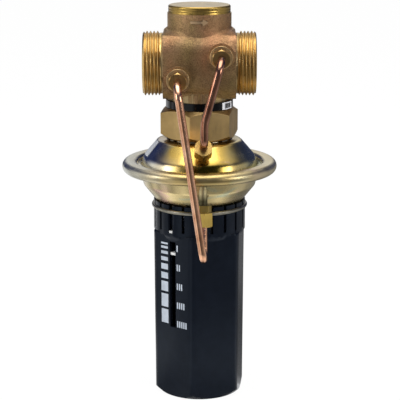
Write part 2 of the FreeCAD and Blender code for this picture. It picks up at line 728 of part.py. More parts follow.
def port_hole(body, point, tilt, sunk):
    # Cuts the nipple's hole through a casing; the port's plane is the body's own front.
    sketch = new_sketch(body, "port_outline", "XY_Plane")
    lean = FreeCAD.Rotation(FreeCAD.Vector(1, 0, 0), 90 - tilt)
    sketch.AttachmentOffset = FreeCAD.Placement(FreeCAD.Vector(0, -point[0].number, point[1].number), lean)
    sketch.setExpression("AttachmentOffset.Base.y", (-point[0]).text)
    sketch.setExpression("AttachmentOffset.Base.z", point[1].text)
    radius = s.port_neck_dia / 2 + s.fit
    sketch.addGeometry(Part.Circle(FreeCAD.Vector(0, 0, 0), FreeCAD.Vector(0, 0, 1), radius.number))
    number = sketch.addConstraint(Sketcher.Constraint("Radius", 0, radius.number))
    sketch.setExpression(f"Constraints[{number}]", radius.text)
    sketch.addConstraint(Sketcher.Constraint("Coincident", 0, 3, -1, 1))
    cut_from(body, "port", sketch, sunk * 2, midplane=True)


def make_casings():
    upper = new_body("upper_casing", dome_top, s.port_turn)
    hole = s.tail_spigot_dia / 2
    land = s.land_dia / 2
    flange = s.flange_dia / 2
    foot = (s.foot_dia / 2, -s.dome_height)
    outline = [(hole, s.land_height), (land, s.land_height), (land, 0), shoulder, knee, foot,
               (flange, -s.dome_height)]
    rounds = {3: s.press_round, 4: s.press_round * 1.5, 5: s.press_round / 2}
    pressed_sheet(upper, outline, s.casing_sheet, rounds)
    port_hole(upper, upper_port, s.upper_port_tilt.number, s.casing_sheet * 2)

    lower = new_body("lower_casing", bowl_top, s.port_turn)
    floor = -s.bowl_depth
    stack = s.casing_sheet * 2 + s.diaphragm_thick
    bead_top = stack + s.bead_rise
    outer = s.bead_dia / 2
    inner = s.bead_inner_dia / 2
    outline = [(inner, stack), (inner, bead_top), (outer, bead_top), (outer, 0), (s.bowl_mouth_dia / 2, 0),
               bowl_knee, (s.bowl_floor_dia / 2, floor), (s.sleeve_spigot_dia / 2, floor)]
    bead = bead_top / 2 - s.fit
    rounds = {1: s.bead_rise - s.gap, 2: bead, 3: bead, 4: s.press_round / 2,
              5: s.press_round, 6: s.press_round}
    pressed_sheet(lower, outline, s.casing_sheet, rounds)
    port_hole(lower, bowl_knee, lower_port_tilt - 90, s.lower_port_sunk)


def make_casing_label():
    # Lies on the cone of the upper casing, clear of its rounded ends.
    normal = unit_normal(shoulder, knee)
    run = (normal[1], -normal[0])
    label = new_body("casing_label", dome_top, 180 - s.label_lead)
    ends = []
    for point, way in ((shoulder, -1), (knee, 1)):
        ends.append((point[0] + run[0] * s.label_inset * way, point[1] + run[1] * s.label_inset * way))
    face = [(r - normal[0] * s.label_thick, z - normal[1] * s.label_thick) for r, z in ends]
    spin(label, "sticker", [ends[0], ends[1], face[1], face[0]], angle=s.label_span)


def make_diaphragm():
    body = new_body("diaphragm", rim_top)
    bore = s.spindle_dia / 2 + s.fit
    plate = s.plate_dia / 2
    clamp = s.foot_dia / 2 - s.casing_sheet
    step = (clamp - plate) / 4
    rim = s.flange_dia / 2 - s.gap
    outline = [(bore, -s.diaphragm_sag), (plate + s.gap, -s.diaphragm_sag), (plate + step, s.roll_rise),
               (plate + step * 3, s.roll_rise), (clamp, 0), (rim, 0)]
    pressed_sheet(body, outline, s.diaphragm_thick, {})

    upper = new_body("upper_plate", disc_top)
    spin(upper, "disc", [(bore, 0), (plate, 0), (plate, s.plate_thick), (bore, s.plate_thick)])
    lower = new_body("lower_plate", disc_end)
    turned_edge = (s.plate_thick + s.plate_skirt) / 2
    pressed_sheet(lower, [(bore, 0), (plate, 0), (plate, -s.plate_skirt)], s.plate_thick, {1: turned_edge})
    hex_nut("plate_nut", plates_top, s.plate_nut_flats, s.plate_nut_height, bore)


# Stem, cone and setting spring

def make_cone():
    body = new_body("valve_cone")
    bore = stem_r + s.fit
    plug = s.seat_bore / 2 - s.loose
    nose = plug - s.seal_thick
    disc = s.cone_dia / 2
    piston = s.piston_dia / 2
    plug_end = disc_base - s.plug_depth
    spin(body, "cone", [(bore, plug_end), (nose, plug_end), (plug, cone_seat), (plug, disc_base),
                        (disc, disc_base), (disc, piston_base), (piston, piston_base),
                        (piston, piston_top), (bore, piston_top)])
    groove_z = piston_top - s.ring_wire * 2
    deep = cylinder_bore - s.ring_wire - s.fit * 2
    spin(body, "seal_groove", seal_groove(groove_z, deep, piston, s.ring_wire), cut=True)
    seal_ring("piston_o_ring", groove_z, cylinder_bore - seal_offset, s.ring_wire)

    seal = new_body("cone_seal", cone_seat)
    inner = plug + s.fit
    spin(seal, "ring", [(inner, 0), (disc, 0), (disc, s.seal_thick), (inner, s.seal_thick)])

    hex_nut("cone_nut", piston_top, s.cone_nut_flats, s.cone_nut_height, stem_r + s.fit)


def make_stems():
    stem = new_body("valve_stem")
    top = piston_top + s.cone_nut_height
    stub = s.stub_thread_dia / 2
    foot = spindle_top - s.stub_thread_length
    spin(stem, "stem", [(0, foot), (stub, foot), (stub, spindle_top), (stem_r, spindle_top),
                        (stem_r, top), (0, top)])

    spindle = new_body("actuator_stem")
    shaft = s.spindle_dia / 2
    collar = s.spindle_collar_dia / 2
    collar_end = plates_end - s.spindle_collar
    end_r = s.spindle_end_dia / 2
    socket = stub + s.fit
    socket_end = foot - s.gap
    spin(spindle, "spindle", [(0, spindle_foot), (end_r, spindle_foot), (end_r, plate_top),
                              (shaft, plate_top), (shaft, collar_end), (collar, collar_end),
                              (collar, plates_end), (shaft, plates_end), (shaft, spindle_top),
                              (socket, spindle_top), (socket, socket_end), (0, socket_end)])


spring_inside = (s.spring_mean_dia - s.spring_wire) / 2


def make_spring():
    plate = new_body("spring_plate", plate_end)
    bore = s.spindle_end_dia / 2 + s.fit
    spigot = spring_inside - s.loose
    rim = grip_bore_r - s.plate_clear
    shaft = s.spindle_dia / 2 + s.gap
    seat = s.spring_plate_thick
    spigot_top = seat + s.spring_spigot
    spin(plate, "plate", [(bore, 0), (rim, 0), (rim, seat), (spigot, seat), (spigot, spigot_top),
                          (shaft, spigot_top), (shaft, seat), (bore, seat)])
    hex_nut("spring_plate_nut", spindle_foot, s.plate_lock_flats, s.plate_lock_height, bore)

    # One wire on a helix between the two seats.
    wire = s.spring_wire.number / 2
    mean = s.spring_mean_dia.number / 2
    rise = spring_length.number - s.spring_wire.number - 2 * s.fit.number
    pitch = rise / s.spring_turns.number
    path = Part.makeHelix(pitch, rise, mean)
    along = FreeCAD.Vector(0, math.tau * mean, pitch)
    start = Part.Wire(Part.makeCircle(wire, FreeCAD.Vector(mean, 0, 0), along))
    coil = Part.Wire(path).makePipeShell([start], True, True)
    spring = doc.addObject("Part::Feature", "setting_spring")
    spring.Label = "setting_spring"
    spring.Shape = coil
    spring.Placement.Base.z = plate_top.number + wire + s.fit.number
    parts.append(spring)


# Sleeve, collar, adjusting nut and handle

def make_sleeve():
    sleeve = new_body("adjusting_sleeve", bowl_floor)
    bore = s.spindle_dia / 2 + s.running_fit
    spigot = s.sleeve_spigot_dia / 2 - s.fit
    spigot_top = s.casing_sheet + s.lock_nut_height
    flange = s.sleeve_flange_dia / 2
    thread = s.sleeve_dia / 2
    flange_end = -s.sleeve_flange_height
    end = flange_end - s.sleeve_length
    spin(sleeve, "sleeve", [(bore, end), (thread, end), (thread, flange_end), (flange, flange_end),
                            (flange, 0), (spigot, 0), (spigot, spigot_top), (bore, spigot_top)])
    deep = s.spindle_dia / 2 + s.ring_wire + s.fit * 2
    groove_z = -s.sleeve_flange_height / 2
    spin(sleeve, "seal_groove", seal_groove(groove_z, bore, deep, s.ring_wire), cut=True)
    seal_ring("sleeve_o_ring", bowl_floor + groove_z, s.spindle_dia / 2 + seal_offset, s.ring_wire)

    lock = new_body("sleeve_lock_nut", bowl_floor + s.casing_sheet)
    ring = s.sleeve_spigot_dia / 2
    rim = s.sleeve_nut_dia / 2
    spin(lock, "nut", [(ring, 0), (rim, 0), (rim, s.lock_nut_height), (ring, s.lock_nut_height)])

    collar = new_body("swivel_collar", swivel_top - s.swivel_height)
    inner = thread + s.fit
    outer = swivel_r
    spin(collar, "collar", [(inner, 0), (outer, 0), (outer, s.swivel_height), (inner, s.swivel_height)])


def grip_section(body, name, drop, draw):
    # Six bowed faces between six corners, drawn in by the mould's draft.
    sketch = new_sketch(body, name, "XY_Plane", drop)
    reach = corner_r - draw
    bow = s.grip_face_dia / 2 - draw
    rise = bow - reach * math.cos(math.pi / 6)
    radius = (reach * reach / 4 + rise * rise) / (rise * 2)
    corners = []
    for index in range(6):
        angle = math.radians(60 * index)
        corners.append((reach * math.cos(angle), reach * math.sin(angle)))
    for index in range(6):
        angle = math.radians(60 * index + 30)
        middle = FreeCAD.Vector(bow.number * math.cos(angle), bow.number * math.sin(angle), 0)
        sketch.addGeometry(Part.Arc(vector(corners[index]), middle, vector(corners[(index + 1) % 6])))
    for index in range(6):
        sketch.addConstraint(Sketcher.Constraint("Coincident", index, 2, (index + 1) % 6, 1))
        number = sketch.addConstraint(Sketcher.Constraint("Radius", index, radius.number))
        sketch.setExpression(f"Constraints[{number}]", radius.text)
    for index, corner in enumerate(corners):
        fix_point(sketch, index, 1, corner)
    return sketch


def make_handle():
    # Modelled with the scale slot at the front, then turned to where it is set.
    body = new_body("handle", handle_top, s.handle_turn)
    finger = finger_r
    grip_top = -s.collar_depth
    end = -s.handle_length
    loft = body.newObject("PartDesign::AdditiveLoft", "handle_grip")
    loft.Profile = grip_section(body, "grip_top", grip_top, as_size(0))
    loft.Sections = [grip_section(body, "grip_end", end, s.grip_draft)]
    loft.Ruled = True
    doc.recompute()
    upright = [f"Edge{number}" for number, edge in enumerate(body.Tip.Shape.Edges, start=1)
               if edge.BoundBox.ZLength > s.handle_length.number / 2]
    round_edges(body, "grip_rounds", upright, s.grip_round)
    # The corners run into a round end through a cone.
    end_r = s.grip_face_dia / 2 - s.grip_draft - s.grip_end_inset
    outer = corner_r + s.gap
    spin(body, "end_cone", [(end_r, end), (outer, end), (outer, end + outer - end_r)], cut=True)
    round_edges(body, "end_edge", ring_edges(body, [(end_r, end)]), s.grip_end_round)

    runout = grip_top - s.collar_runout
    face = s.grip_face_dia / 2 - s.gap
    spin(body, "collar", [(0, 0), (finger, 0), (finger, grip_top), (face, runout), (0, runout)])

    mouth = lip_r
    hook = hook_r
    ring_r = swivel_r + s.loose
    bore = grip_bore_r
    ring_top = swivel_top - handle_top + s.gap
    ring_end = ring_top - s.swivel_height - s.gap * 2
    hook_z = -s.finger_hook_drop
    floor = end + s.grip_floor
    spin(body, "hollow", [(0, floor), (bore, floor), (bore, ring_end), (ring_r, ring_end),
                          (ring_r, ring_top), (hook, ring_top), (hook, hook_z), (mouth, 0), (0, 0)], cut=True)

    wire = s.wire_dia / 2
    seat = wire_ring_r - wire - s.fit
    wire_z = -s.wire_drop
    half = wire + s.fit
    clear = finger + s.gap
    spin(body, "wire_groove", [(seat, wire_z - half), (clear, wire_z - half),
                               (clear, wire_z + half), (seat, wire_z + half)], cut=True)

    slot = s.finger_slot_width / 2
    deep = -s.finger_slot_depth
    cutter = polygon(body, "finger_slot", "XZ_Plane", [(-slot, deep), (slot, deep), (slot, 0), (-slot, 0)])
    first = cut_from(body, "finger_gap", cutter, finger + s.gap, reverse=True)
    repeat_round(body, "finger_gaps", first, s.finger_count)
    wide = s.wide_slot_width / 2
    deep = -s.wide_slot_depth
    cutter = polygon(body, "wide_slot", "XZ_Plane", [(-wide, deep), (wide, deep), (wide, 0), (-wide, 0)])
    cut_from(body, "wide_gap", cutter, finger + s.gap, reverse=True)

    half = s.scale_width / 2
    top = -s.scale_top
    low = top - s.scale_length
    cutter = polygon(body, "scale_slot", "XZ_Plane", [(-half, low), (half, low), (half, top), (-half, top)])
    cut_from(body, "scale_opening", cutter, corner_r, reverse=True)

    key = s.keyway_width / 2
    outline = [(-key, floor), (key, floor), (key, ring_end), (-key, ring_end)]
    cutter = polygon(body, "keyway_outline", "YZ_Plane", outline)
    first = cut_from(body, "keyway", cutter, keyway_r, reverse=True)
    repeat_round(body, "keyways", first, 3)

    ring = new_body("retaining_ring", handle_top + wire_z, s.handle_turn + 90 + s.wire_gap / 2)
    profile = circle(ring, "wire", "XZ_Plane", [(wire_ring_r, 0)], wire)
    turned = feature(ring, "Revolution", "ring", profile)
    turned.ReferenceAxis = (profile, ["V_Axis"])
    turned.setExpression("Angle", (360 - s.wire_gap).text)

    mark = new_body("index_mark", handle_top - s.wide_slot_depth, s.handle_turn)
    width = wide - s.fit
    outline = [(-width, 0), (width, 0), (width, s.mark_height), (-width, s.mark_height)]
    front = polygon(mark, "front", "XZ_Plane", outline, ring_r)
    raise_from(mark, "tab", front, finger - ring_r - s.gap)


def make_adjusting_nut():
    nut = new_body("adjusting_nut", adjuster_end, s.handle_turn)
    bore = s.sleeve_dia / 2 + s.running_fit
    spigot = spring_inside - s.loose
    flange = (s.spring_mean_dia + s.spring_wire) / 2 + s.adjuster_rim
    hub = s.sleeve_dia / 2 + s.adjuster_hub_wall
    flange_top = s.adjuster_flange
    hub_top = flange_top + s.adjuster_hub_height
    foot = -s.spring_spigot
    spin(nut, "hub", [(bore, foot), (spigot, foot), (spigot, 0), (flange, 0), (flange, flange_top),
                      (hub, flange_top), (hub, hub_top), (bore, hub_top)])
    key = s.keyway_width / 2 - s.loose
    outline = [(-key, 0), (key, 0), (key, flange_top), (-key, flange_top)]
    start = polygon(nut, "key_outline", "YZ_Plane", outline, hub)
    first = raise_from(nut, "key", start, keyway_r - s.loose - hub)
    repeat_round(nut, "keys", first, 3)

    half = s.scale_width / 2 - s.loose
    low = (s.adjuster_flange - s.pointer_height) / 2
    high = low + s.pointer_height
    outline = [(-half, low), (half, low), (half, high), (-half, high)]
    seat = flange - s.pointer_seat
    cutter = polygon(nut, "pointer_seat_outline", "XZ_Plane", outline, seat)
    cut_from(nut, "pointer_seat", cutter, s.pointer_seat * 2, reverse=True)

    pointer = new_body("setting_pointer", adjuster_end, s.handle_turn)
    front = polygon(pointer, "front", "XZ_Plane", outline, seat)
    raise_from(pointer, "pointer", front, s.grip_face_dia / 2 - s.pointer_recess - seat)


# Impulse tubes and their connections

def direction_in_port_plane(tilt):
    # Outward and up by the tilt, in the upright plane of the casing ports.
    turn = math.radians(s.port_turn.number)
    lean = math.radians(tilt)
    return FreeCAD.Vector(math.sin(turn) * math.cos(lean), -math.cos(turn) * math.cos(lean), math.sin(lean))


def point_in_port_plane(radius, z):
    turn = math.radians(s.port_turn.number)
    return FreeCAD.Vector(radius * math.sin(turn), -radius * math.cos(turn), z)


def tube_connection(name, point, direction, shank_r, sunk, neck, collar, hexagonal):
    # A nipple, its nut and a ferrule along one axis; returns where the tube stops and where the nut ends.
    small = s.impulse_bore / 2
    tube_r = s.tube_dia / 2
    stub_r = s.stub_dia / 2
    base = as_size(neck)
    seat = base + collar
    stub_end = seat + s.stub_length
    stop = seat + s.gap
    nipple = new_body(f"{name}_nipple")
    collar_r = s.nipple_flats / 2 if hexagonal else s.collar_dia / 2
    bore = tube_r + s.fit
    spin(nipple, "turned", [(small, -sunk), (shank_r, -sunk), (shank_r, base), (collar_r, base),
                            (collar_r, seat), (stub_r, seat), (stub_r, stub_end), (bore, stub_end),
                            (bore, stop), (small, stop)])
    if hexagonal:
        flats = polygon(nipple, "hexagon", "XY_Plane", hexagon(s.nipple_flats), base)
        raise_from(nipple, "hex_collar", flats, collar)
        heart = circle(nipple, "heart", "XY_Plane", [(0, 0)], small, base)
        cut_from(nipple, "heart_bore", heart, collar, reverse=True)

    ferrule = new_body(f"{name}_ferrule")
    slim = bore + s.gap
    waist = stub_end + s.ferrule_length / 2
    fat = stub_r - s.gap
    ferrule_end = stub_end + s.ferrule_length
    spin(ferrule, "olive", [(bore, stub_end), (slim, stub_end), (fat, waist),
                            (slim, ferrule_end), (bore, ferrule_end)])

    nut = new_body(f"{name}_nut")
    nut_start = seat + s.gap
    nut_stop = nut_start + s.fitting_length
    flats = polygon(nut, "hexagon", "XY_Plane", hexagon(s.fitting_flats, 30), nut_start)
    raise_from(nut, "prism", flats, s.fitting_length)
    corner = s.fitting_flats / math.sqrt(3) + s.gap
    face = s.fitting_flats / 2
    slope = corner - face
    spin(nut, "chamfer", [(face, nut_stop), (corner, nut_stop), (corner, nut_stop - slope)], cut=True)
    thread = stub_r + s.fit
    spin(nut, "bore", [(0, nut_start), (thread, nut_start), (thread, ferrule_end), (bore, ferrule_end),
                       (bore, nut_stop), (0, nut_stop)], cut=True)

    for body in (nipple, ferrule, nut):
        place_along(body, point, direction)
    return point + direction * stop.number, point + direction * nut_stop.number


def rounded_route(points, radii):
    # Straight runs joined by tangent arcs.
    edges = []
    start = points[0]
    for before, corner, after, radius in zip(points, points[1:], points[2:], radii):
        come = (corner - before).normalize()
        leave = (after - corner).normalize()
        turn = come.getAngle(leave)
        back = radius * math.tan(turn / 2)
        first = corner - come * back
        last = corner + leave * back
        inward = (leave - come).normalize()
        centre = corner + inward * (radius / math.cos(turn / 2))
        middle = centre - inward * radius
        edges.append(Part.LineSegment(start, first).toShape())
        edges.append(Part.Arc(first, middle, last).toShape())
        start = last
    edges.append(Part.LineSegment(start, points[-1]).toShape())
    return Part.Wire(edges)


def sweep_along(name, path, radius, direction):
    ring = doc.addObject("Part::Circle", f"{name}_section")
    ring.setExpression("Radius", radius.text)
    facing = FreeCAD.Rotation(FreeCAD.Vector(0, 0, 1), direction)
    ring.Placement = FreeCAD.Placement(path.Shape.Vertexes[0].Point, facing)
    swept = doc.addObject("Part::Sweep", f"{name}_sweep")
    swept.Sections = [ring]
    swept.Spine = (path, [])
    swept.Solid = True
    swept.Frenet = False
    return swept


def bent_tube(name, points, radii):
    path = doc.addObject("Part::Feature", f"{name}_route")
    path.Shape = rounded_route(points, radii)
    direction = points[1] - points[0]
    outside = sweep_along(f"{name}_outside", path, s.tube_dia / 2, direction)
    inside = sweep_along(f"{name}_inside", path, s.tube_dia / 2 - s.tube_wall, direction)
    tube = doc.addObject("Part::Cut", name)
    tube.Label = name
    tube.Base = outside
    tube.Tool = inside
    parts.append(tube)
    doc.recompute()
    section = math.pi * (s.tube_dia.number - s.tube_wall.number) * s.tube_wall.number
    expected = section * path.Shape.Length
    if abs(tube.Shape.Volume / expected - 1) > 0.01:
        raise RuntimeError(f"{name} is not swept whole")
    print(f"{name}: bends {radii}, length {path.Shape.Length:.1f}")


def make_tubes():
    forward = FreeCAD.Vector(0, -1, 0)
    face_y = -(s.block_depth.number / 2 + s.boss_height.number)
    shank_r = s.shank_dia / 2
    neck_r = s.port_neck_dia / 2
    inlet = FreeCAD.Vector(-s.tap_x.number, face_y, -s.tap_z.number)
    outlet = FreeCAD.Vector(s.tap_x.number, face_y, s.tap_z.number)
    inlet_stop, inlet_face = tube_connection("inlet_tap", inlet, forward, shank_r, s.shank_length, 0,
                                             s.collar_length, False)
    outlet_stop, outlet_face = tube_connection("outlet_tap", outlet, forward, shank_r, s.shank_length, 0,
                                               s.collar_length, False)

    upper_way = direction_in_port_plane(s.upper_port_tilt.number)
    upper_at = point_in_port_plane(upper_port[0].number, dome_top.number + upper_port[1].number)
    upper_stop, upper_face = tube_connection("upper_port", upper_at, upper_way, neck_r, s.casing_sheet * 2,
                                             s.upper_port_neck, s.upper_port_hex, True)
    lower_way = direction_in_port_plane(lower_port_tilt - 90)
    lower_at = point_in_port_plane(bowl_knee[0].number, bowl_top.number + bowl_knee[1].number)
    lower_stop, lower_face = tube_connection("lower_port", lower_at, lower_way, neck_r, s.lower_port_sunk,
                                             s.lower_port_neck, s.lower_port_hex, True)

    front = s.bead_dia.number / 2 + s.tube_clear.number
    foot = lower_face + lower_way * s.inlet_drop.number
    knee_point = FreeCAD.Vector(inlet.x, -front, inlet.z)
    turn_point = FreeCAD.Vector(foot.x, -front - s.inlet_lean.number, foot.z)
    bent_tube("inlet_tube", [inlet_stop, knee_point, turn_point, foot, lower_stop],
              [s.tap_bend.number, s.inlet_bend.number, s.inlet_bend.number])

    reach = (s.outlet_leg.number - upper_port[0].number) / math.cos(math.radians(s.upper_port_tilt.number))
    elbow = upper_at + upper_way * reach
    kink = elbow + FreeCAD.Vector(0, 0, s.outlet_kink.number)
    head = FreeCAD.Vector(outlet.x, kink.y, outlet.z)
    bent_tube("outlet_tube", [outlet_stop, head, kink, elbow, upper_stop],
              [s.tap_bend.number, s.outlet_bend.number * 3, s.outlet_bend.number])


make_valve_body()
make_seat_ring()
make_body_cap()
make_stem_guide()
make_band()
make_union()
make_casings()
make_casing_label()
make_diaphragm()
make_cone()
make_stems()
make_spring()
make_sleeve()
make_handle()
make_adjusting_nut()
make_tubes()
doc.recompute()

failed = [item.Name for item in doc.Objects if "Invalid" in item.State or "Error" in item.State]
if failed:
    raise RuntimeError(f"failed features: {failed}")
for part in parts:
    if part.Shape.isNull() or not part.Shape.isValid():
        raise RuntimeError(f"bad shape: {part.Label}")

os.makedirs("parts", exist_ok=True)
for part in parts:
    part.Shape.exportStep(f"parts/{part.Label}.step")
print(f"{len(parts)} sub-parts written")
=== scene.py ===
import math
import bmesh
import bpy
from mathutils import Matrix, Vector
from mathutils.bvhtree import BVHTree


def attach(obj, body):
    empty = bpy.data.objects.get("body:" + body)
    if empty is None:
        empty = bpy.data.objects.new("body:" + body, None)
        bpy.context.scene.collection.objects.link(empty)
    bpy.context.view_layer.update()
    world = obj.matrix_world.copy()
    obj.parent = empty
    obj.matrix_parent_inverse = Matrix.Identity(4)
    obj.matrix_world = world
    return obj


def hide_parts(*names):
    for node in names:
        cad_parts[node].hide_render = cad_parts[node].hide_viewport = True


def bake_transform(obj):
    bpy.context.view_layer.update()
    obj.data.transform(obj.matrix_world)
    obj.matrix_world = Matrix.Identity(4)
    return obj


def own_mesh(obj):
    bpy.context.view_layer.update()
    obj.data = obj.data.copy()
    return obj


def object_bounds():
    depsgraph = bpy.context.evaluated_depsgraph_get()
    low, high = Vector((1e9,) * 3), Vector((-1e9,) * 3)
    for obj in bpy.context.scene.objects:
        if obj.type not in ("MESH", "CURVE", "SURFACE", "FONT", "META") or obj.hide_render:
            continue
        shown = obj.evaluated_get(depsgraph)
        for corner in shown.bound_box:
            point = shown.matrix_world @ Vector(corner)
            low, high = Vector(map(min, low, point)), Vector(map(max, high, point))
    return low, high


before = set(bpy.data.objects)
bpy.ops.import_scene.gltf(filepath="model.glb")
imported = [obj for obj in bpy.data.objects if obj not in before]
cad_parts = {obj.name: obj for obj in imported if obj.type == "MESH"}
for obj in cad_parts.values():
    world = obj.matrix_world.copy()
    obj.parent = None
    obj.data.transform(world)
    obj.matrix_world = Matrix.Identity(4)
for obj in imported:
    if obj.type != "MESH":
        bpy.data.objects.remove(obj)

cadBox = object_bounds()
mm = 0.001
scene = bpy.context.scene
scene.view_settings.view_transform = "Standard"
print("frame loaded:", len(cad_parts), "nodes")


# small helpers for meshes, with reaches in metres and angles in degrees

meshFacts = {
    "mergeReach": 0.000002, "weldReach": 0.000004, "cutReach": 0.000001,
    "flatAngle": 0.5, "joinAngle": 20, "joinShape": 75, "edgedSmooth": 40, "edgeSegments": 2,
}


def addPiece(name, bm, materials, body, nodes=(), smoothAngle=None):
    mesh = bpy.data.meshes.new(name)
    bm.to_mesh(mesh)
    bm.free()
    for material in materials:
        mesh.materials.append(material)
    if smoothAngle is not None:
        mesh.shade_smooth()
        mesh.set_sharp_from_angle(angle=math.radians(smoothAngle))
    piece = bpy.data.objects.new(name, mesh)
    scene.collection.objects.link(piece)
    if body:
        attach(piece, body)
    if nodes:
        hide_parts(*nodes)
    return piece


def mergedCopy(node):
    # the solid's triangles come loose, so they are joined before anything else is done to them
    bm = bmesh.new()
    bm.from_mesh(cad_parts[node].data)
    bmesh.ops.remove_doubles(bm, verts=bm.verts, dist=meshFacts["mergeReach"])
    return bm


def joinFlats(bm):
    limit = math.radians(meshFacts["flatAngle"])
    bmesh.ops.dissolve_limit(bm, angle_limit=limit, verts=bm.verts, edges=bm.edges)


def cutAcross(bm, place, direction, clear=False):
    # cuts the whole mesh at a plane and gives the edges of the cut
    every = list(bm.verts) + list(bm.edges) + list(bm.faces)
    cut = bmesh.ops.bisect_plane(bm, geom=every, dist=meshFacts["cutReach"], plane_co=place,
                                 plane_no=direction, clear_outer=clear)
    return [item for item in cut["geom_cut"] if isinstance(item, bmesh.types.BMEdge)]


def boxCorners(left, right, low, high):
    return (left, low), (right, low), (right, high), (left, high)


def addPlate(bm, under, over):
    # closed block between two rings of points
    lower = [bm.verts.new(point) for point in under]
    upper = [bm.verts.new(point) for point in over]
    bm.faces.new(upper)
    bm.faces.new(lower[::-1])
    for index in range(len(lower)):
        after = (index + 1) % len(lower)
        bm.faces.new((lower[index], lower[after], upper[after], upper[index]))


def addWeightedNormals(piece, weight=50):
    # wide flat faces keep their own normals where they run into small rounds
    modifier = piece.modifiers.new("weighted normals", "WEIGHTED_NORMAL")
    modifier.keep_sharp = True
    modifier.weight = weight


def smoothCopy(node, finish, body, angle=32, reshape=None):
    # triangles go together in fours, so that rings of the mesh shade evenly
    bm = mergedCopy(node)
    if reshape:
        reshape(bm)
    bmesh.ops.join_triangles(bm, faces=bm.faces, angle_face_threshold=math.radians(meshFacts["joinAngle"]),
                             angle_shape_threshold=math.radians(meshFacts["joinShape"]))
    piece = addPiece(f"{node}_smooth", bm, [finish], body, (node,), angle)
    addWeightedNormals(piece)


def edgedCopy(node, finish, body, width, angle=25):
    # the solid's edges get the small round that a real one has
    bm = mergedCopy(node)
    joinFlats(bm)
    hard = [edge for edge in bm.edges if len(edge.link_faces) == 2
            and edge.calc_face_angle(0) > math.radians(angle)]
    bmesh.ops.bevel(bm, geom=hard, offset=width * mm, offset_type="OFFSET", affect="EDGES",
                    segments=meshFacts["edgeSegments"], profile=0.5, clamp_overlap=True, material=-1)
    piece = addPiece(f"{node}_edged", bm, [finish], body, (node,), meshFacts["edgedSmooth"])
    addWeightedNormals(piece)
    return piece


def spinProfile(bm, points, axis, steps):
    # points are (radius, height) along the axis, swept once round it
    side = Vector((0, -1, 0))
    verts = [bm.verts.new(side * r * mm + Vector(axis) * h * mm) for r, h in points]
    edges = [bm.edges.new(pair) for pair in zip(verts, verts[1:])]
    bmesh.ops.spin(bm, geom=verts + edges, cent=(0, 0, 0), axis=axis, angle=math.tau, steps=steps,
                   use_merge=True)
    bmesh.ops.remove_doubles(bm, verts=bm.verts, dist=meshFacts["weldReach"])
    bmesh.ops.recalc_face_normals(bm, faces=bm.faces)


def shareOf(value, start, end):
    # 0 at the start and 1 at the end, held beyond them
    return min(1, max(0, (value - start) / (end - start)))


def eased(share):
    return share * share * (3 - 2 * share)


# helpers for materials, all from Object coordinates in metres

def newMaterial(name, colour, metallic, roughness, **sockets):
    material = bpy.data.materials.new(name)
    material.use_nodes = True
    shader = material.node_tree.nodes["Principled BSDF"]
    shader.inputs["Base Color"].default_value = (*colour, 1)
    shader.inputs["Metallic"].default_value = metallic
    shader.inputs["Roughness"].default_value = roughness
    for socket, value in sockets.items():
        shader.inputs[socket.replace("_", " ")].default_value = value
    return material


def addNode(material, kind, **values):
    node = material.node_tree.nodes.new(kind)
    for key, value in values.items():
        if key in node.inputs:
            node.inputs[key].default_value = value
        else:
            setattr(node, key, value)
    return node


def join(material, source, target):
    material.node_tree.links.new(source, target)


def feed(material, source, socket):
    # the source is another node's output, a colour or a number
    if isinstance(source, bpy.types.NodeSocket):
        join(material, source, socket)
    else:
        socket.default_value = (*source, 1) if isinstance(source, tuple) else source


def toShader(material, source, socket):
    join(material, source, material.node_tree.nodes["Principled BSDF"].inputs[socket])


def objectPoint(material, scale=(1, 1, 1)):
    coords = addNode(material, "ShaderNodeTexCoord")
    mapping = addNode(material, "ShaderNodeMapping", Scale=scale)
    join(material, coords.outputs["Object"], mapping.inputs["Vector"])
    return mapping.outputs["Vector"]


def splitPoint(material, point):
    node = addNode(material, "ShaderNodeSeparateXYZ")
    join(material, point, node.inputs[0])
    return node.outputs


def vectorMath(material, operation, point):
    node = addNode(material, "ShaderNodeVectorMath", operation=operation)
    join(material, point, node.inputs[0])
    return node


def calculate(material, operation, *sources):
    node = addNode(material, "ShaderNodeMath", operation=operation)
    for source, socket in zip(sources, node.inputs):
        feed(material, source, socket)
    return node.outputs[0]


def product(material, first, *others):
    for other in others:
        first = calculate(material, "MULTIPLY", first, other)
    return first


def noise(material, point, scale, detail=4, roughness=0.5, distortion=0):
    node = addNode(material, "ShaderNodeTexNoise", Scale=scale, Detail=detail, Roughness=roughness,
                   Distortion=distortion)
    join(material, point, node.inputs["Vector"])
    return node.outputs["Fac"]


def ramp(material, factor, stops):
    # stops are (place, colour), with one number for a grey
    node = addNode(material, "ShaderNodeValToRGB")
    band = node.color_ramp
    while len(band.elements) < len(stops):
        band.elements.new(0.5)
    for element, (place, colour) in zip(band.elements, stops):
        element.position = place
        element.color = (*colour, 1) if isinstance(colour, tuple) else (colour, colour, colour, 1)
    join(material, factor, node.inputs["Fac"])
    return node.outputs["Color"]


def spread(material, factor, low, high, start=0.3, end=0.7, kind="LINEAR"):
    # low where the factor is at the start, high where it is at the end
    node = addNode(material, "ShaderNodeMapRange", interpolation_type=kind)
    for socket, value in zip(("From Min", "From Max", "To Min", "To Max"), (start, end, low, high)):
        node.inputs[socket].default_value = value
    join(material, factor, node.inputs["Value"])
    return node.outputs["Result"]


mixSockets = {"factor": 0, "first": 6, "second": 7, "result": 2}


def blendColours(material, factor, first, second, mode="MIX"):
    node = addNode(material, "ShaderNodeMix", data_type="RGBA", blend_type=mode)
    for source, socket in ((factor, "factor"), (first, "first"), (second, "second")):
        feed(material, source, node.inputs[mixSockets[socket]])
    return node.outputs[mixSockets["result"]]


def multiplied(material, first, second):
    return blendColours(material, 1.0, first, second, "MULTIPLY")


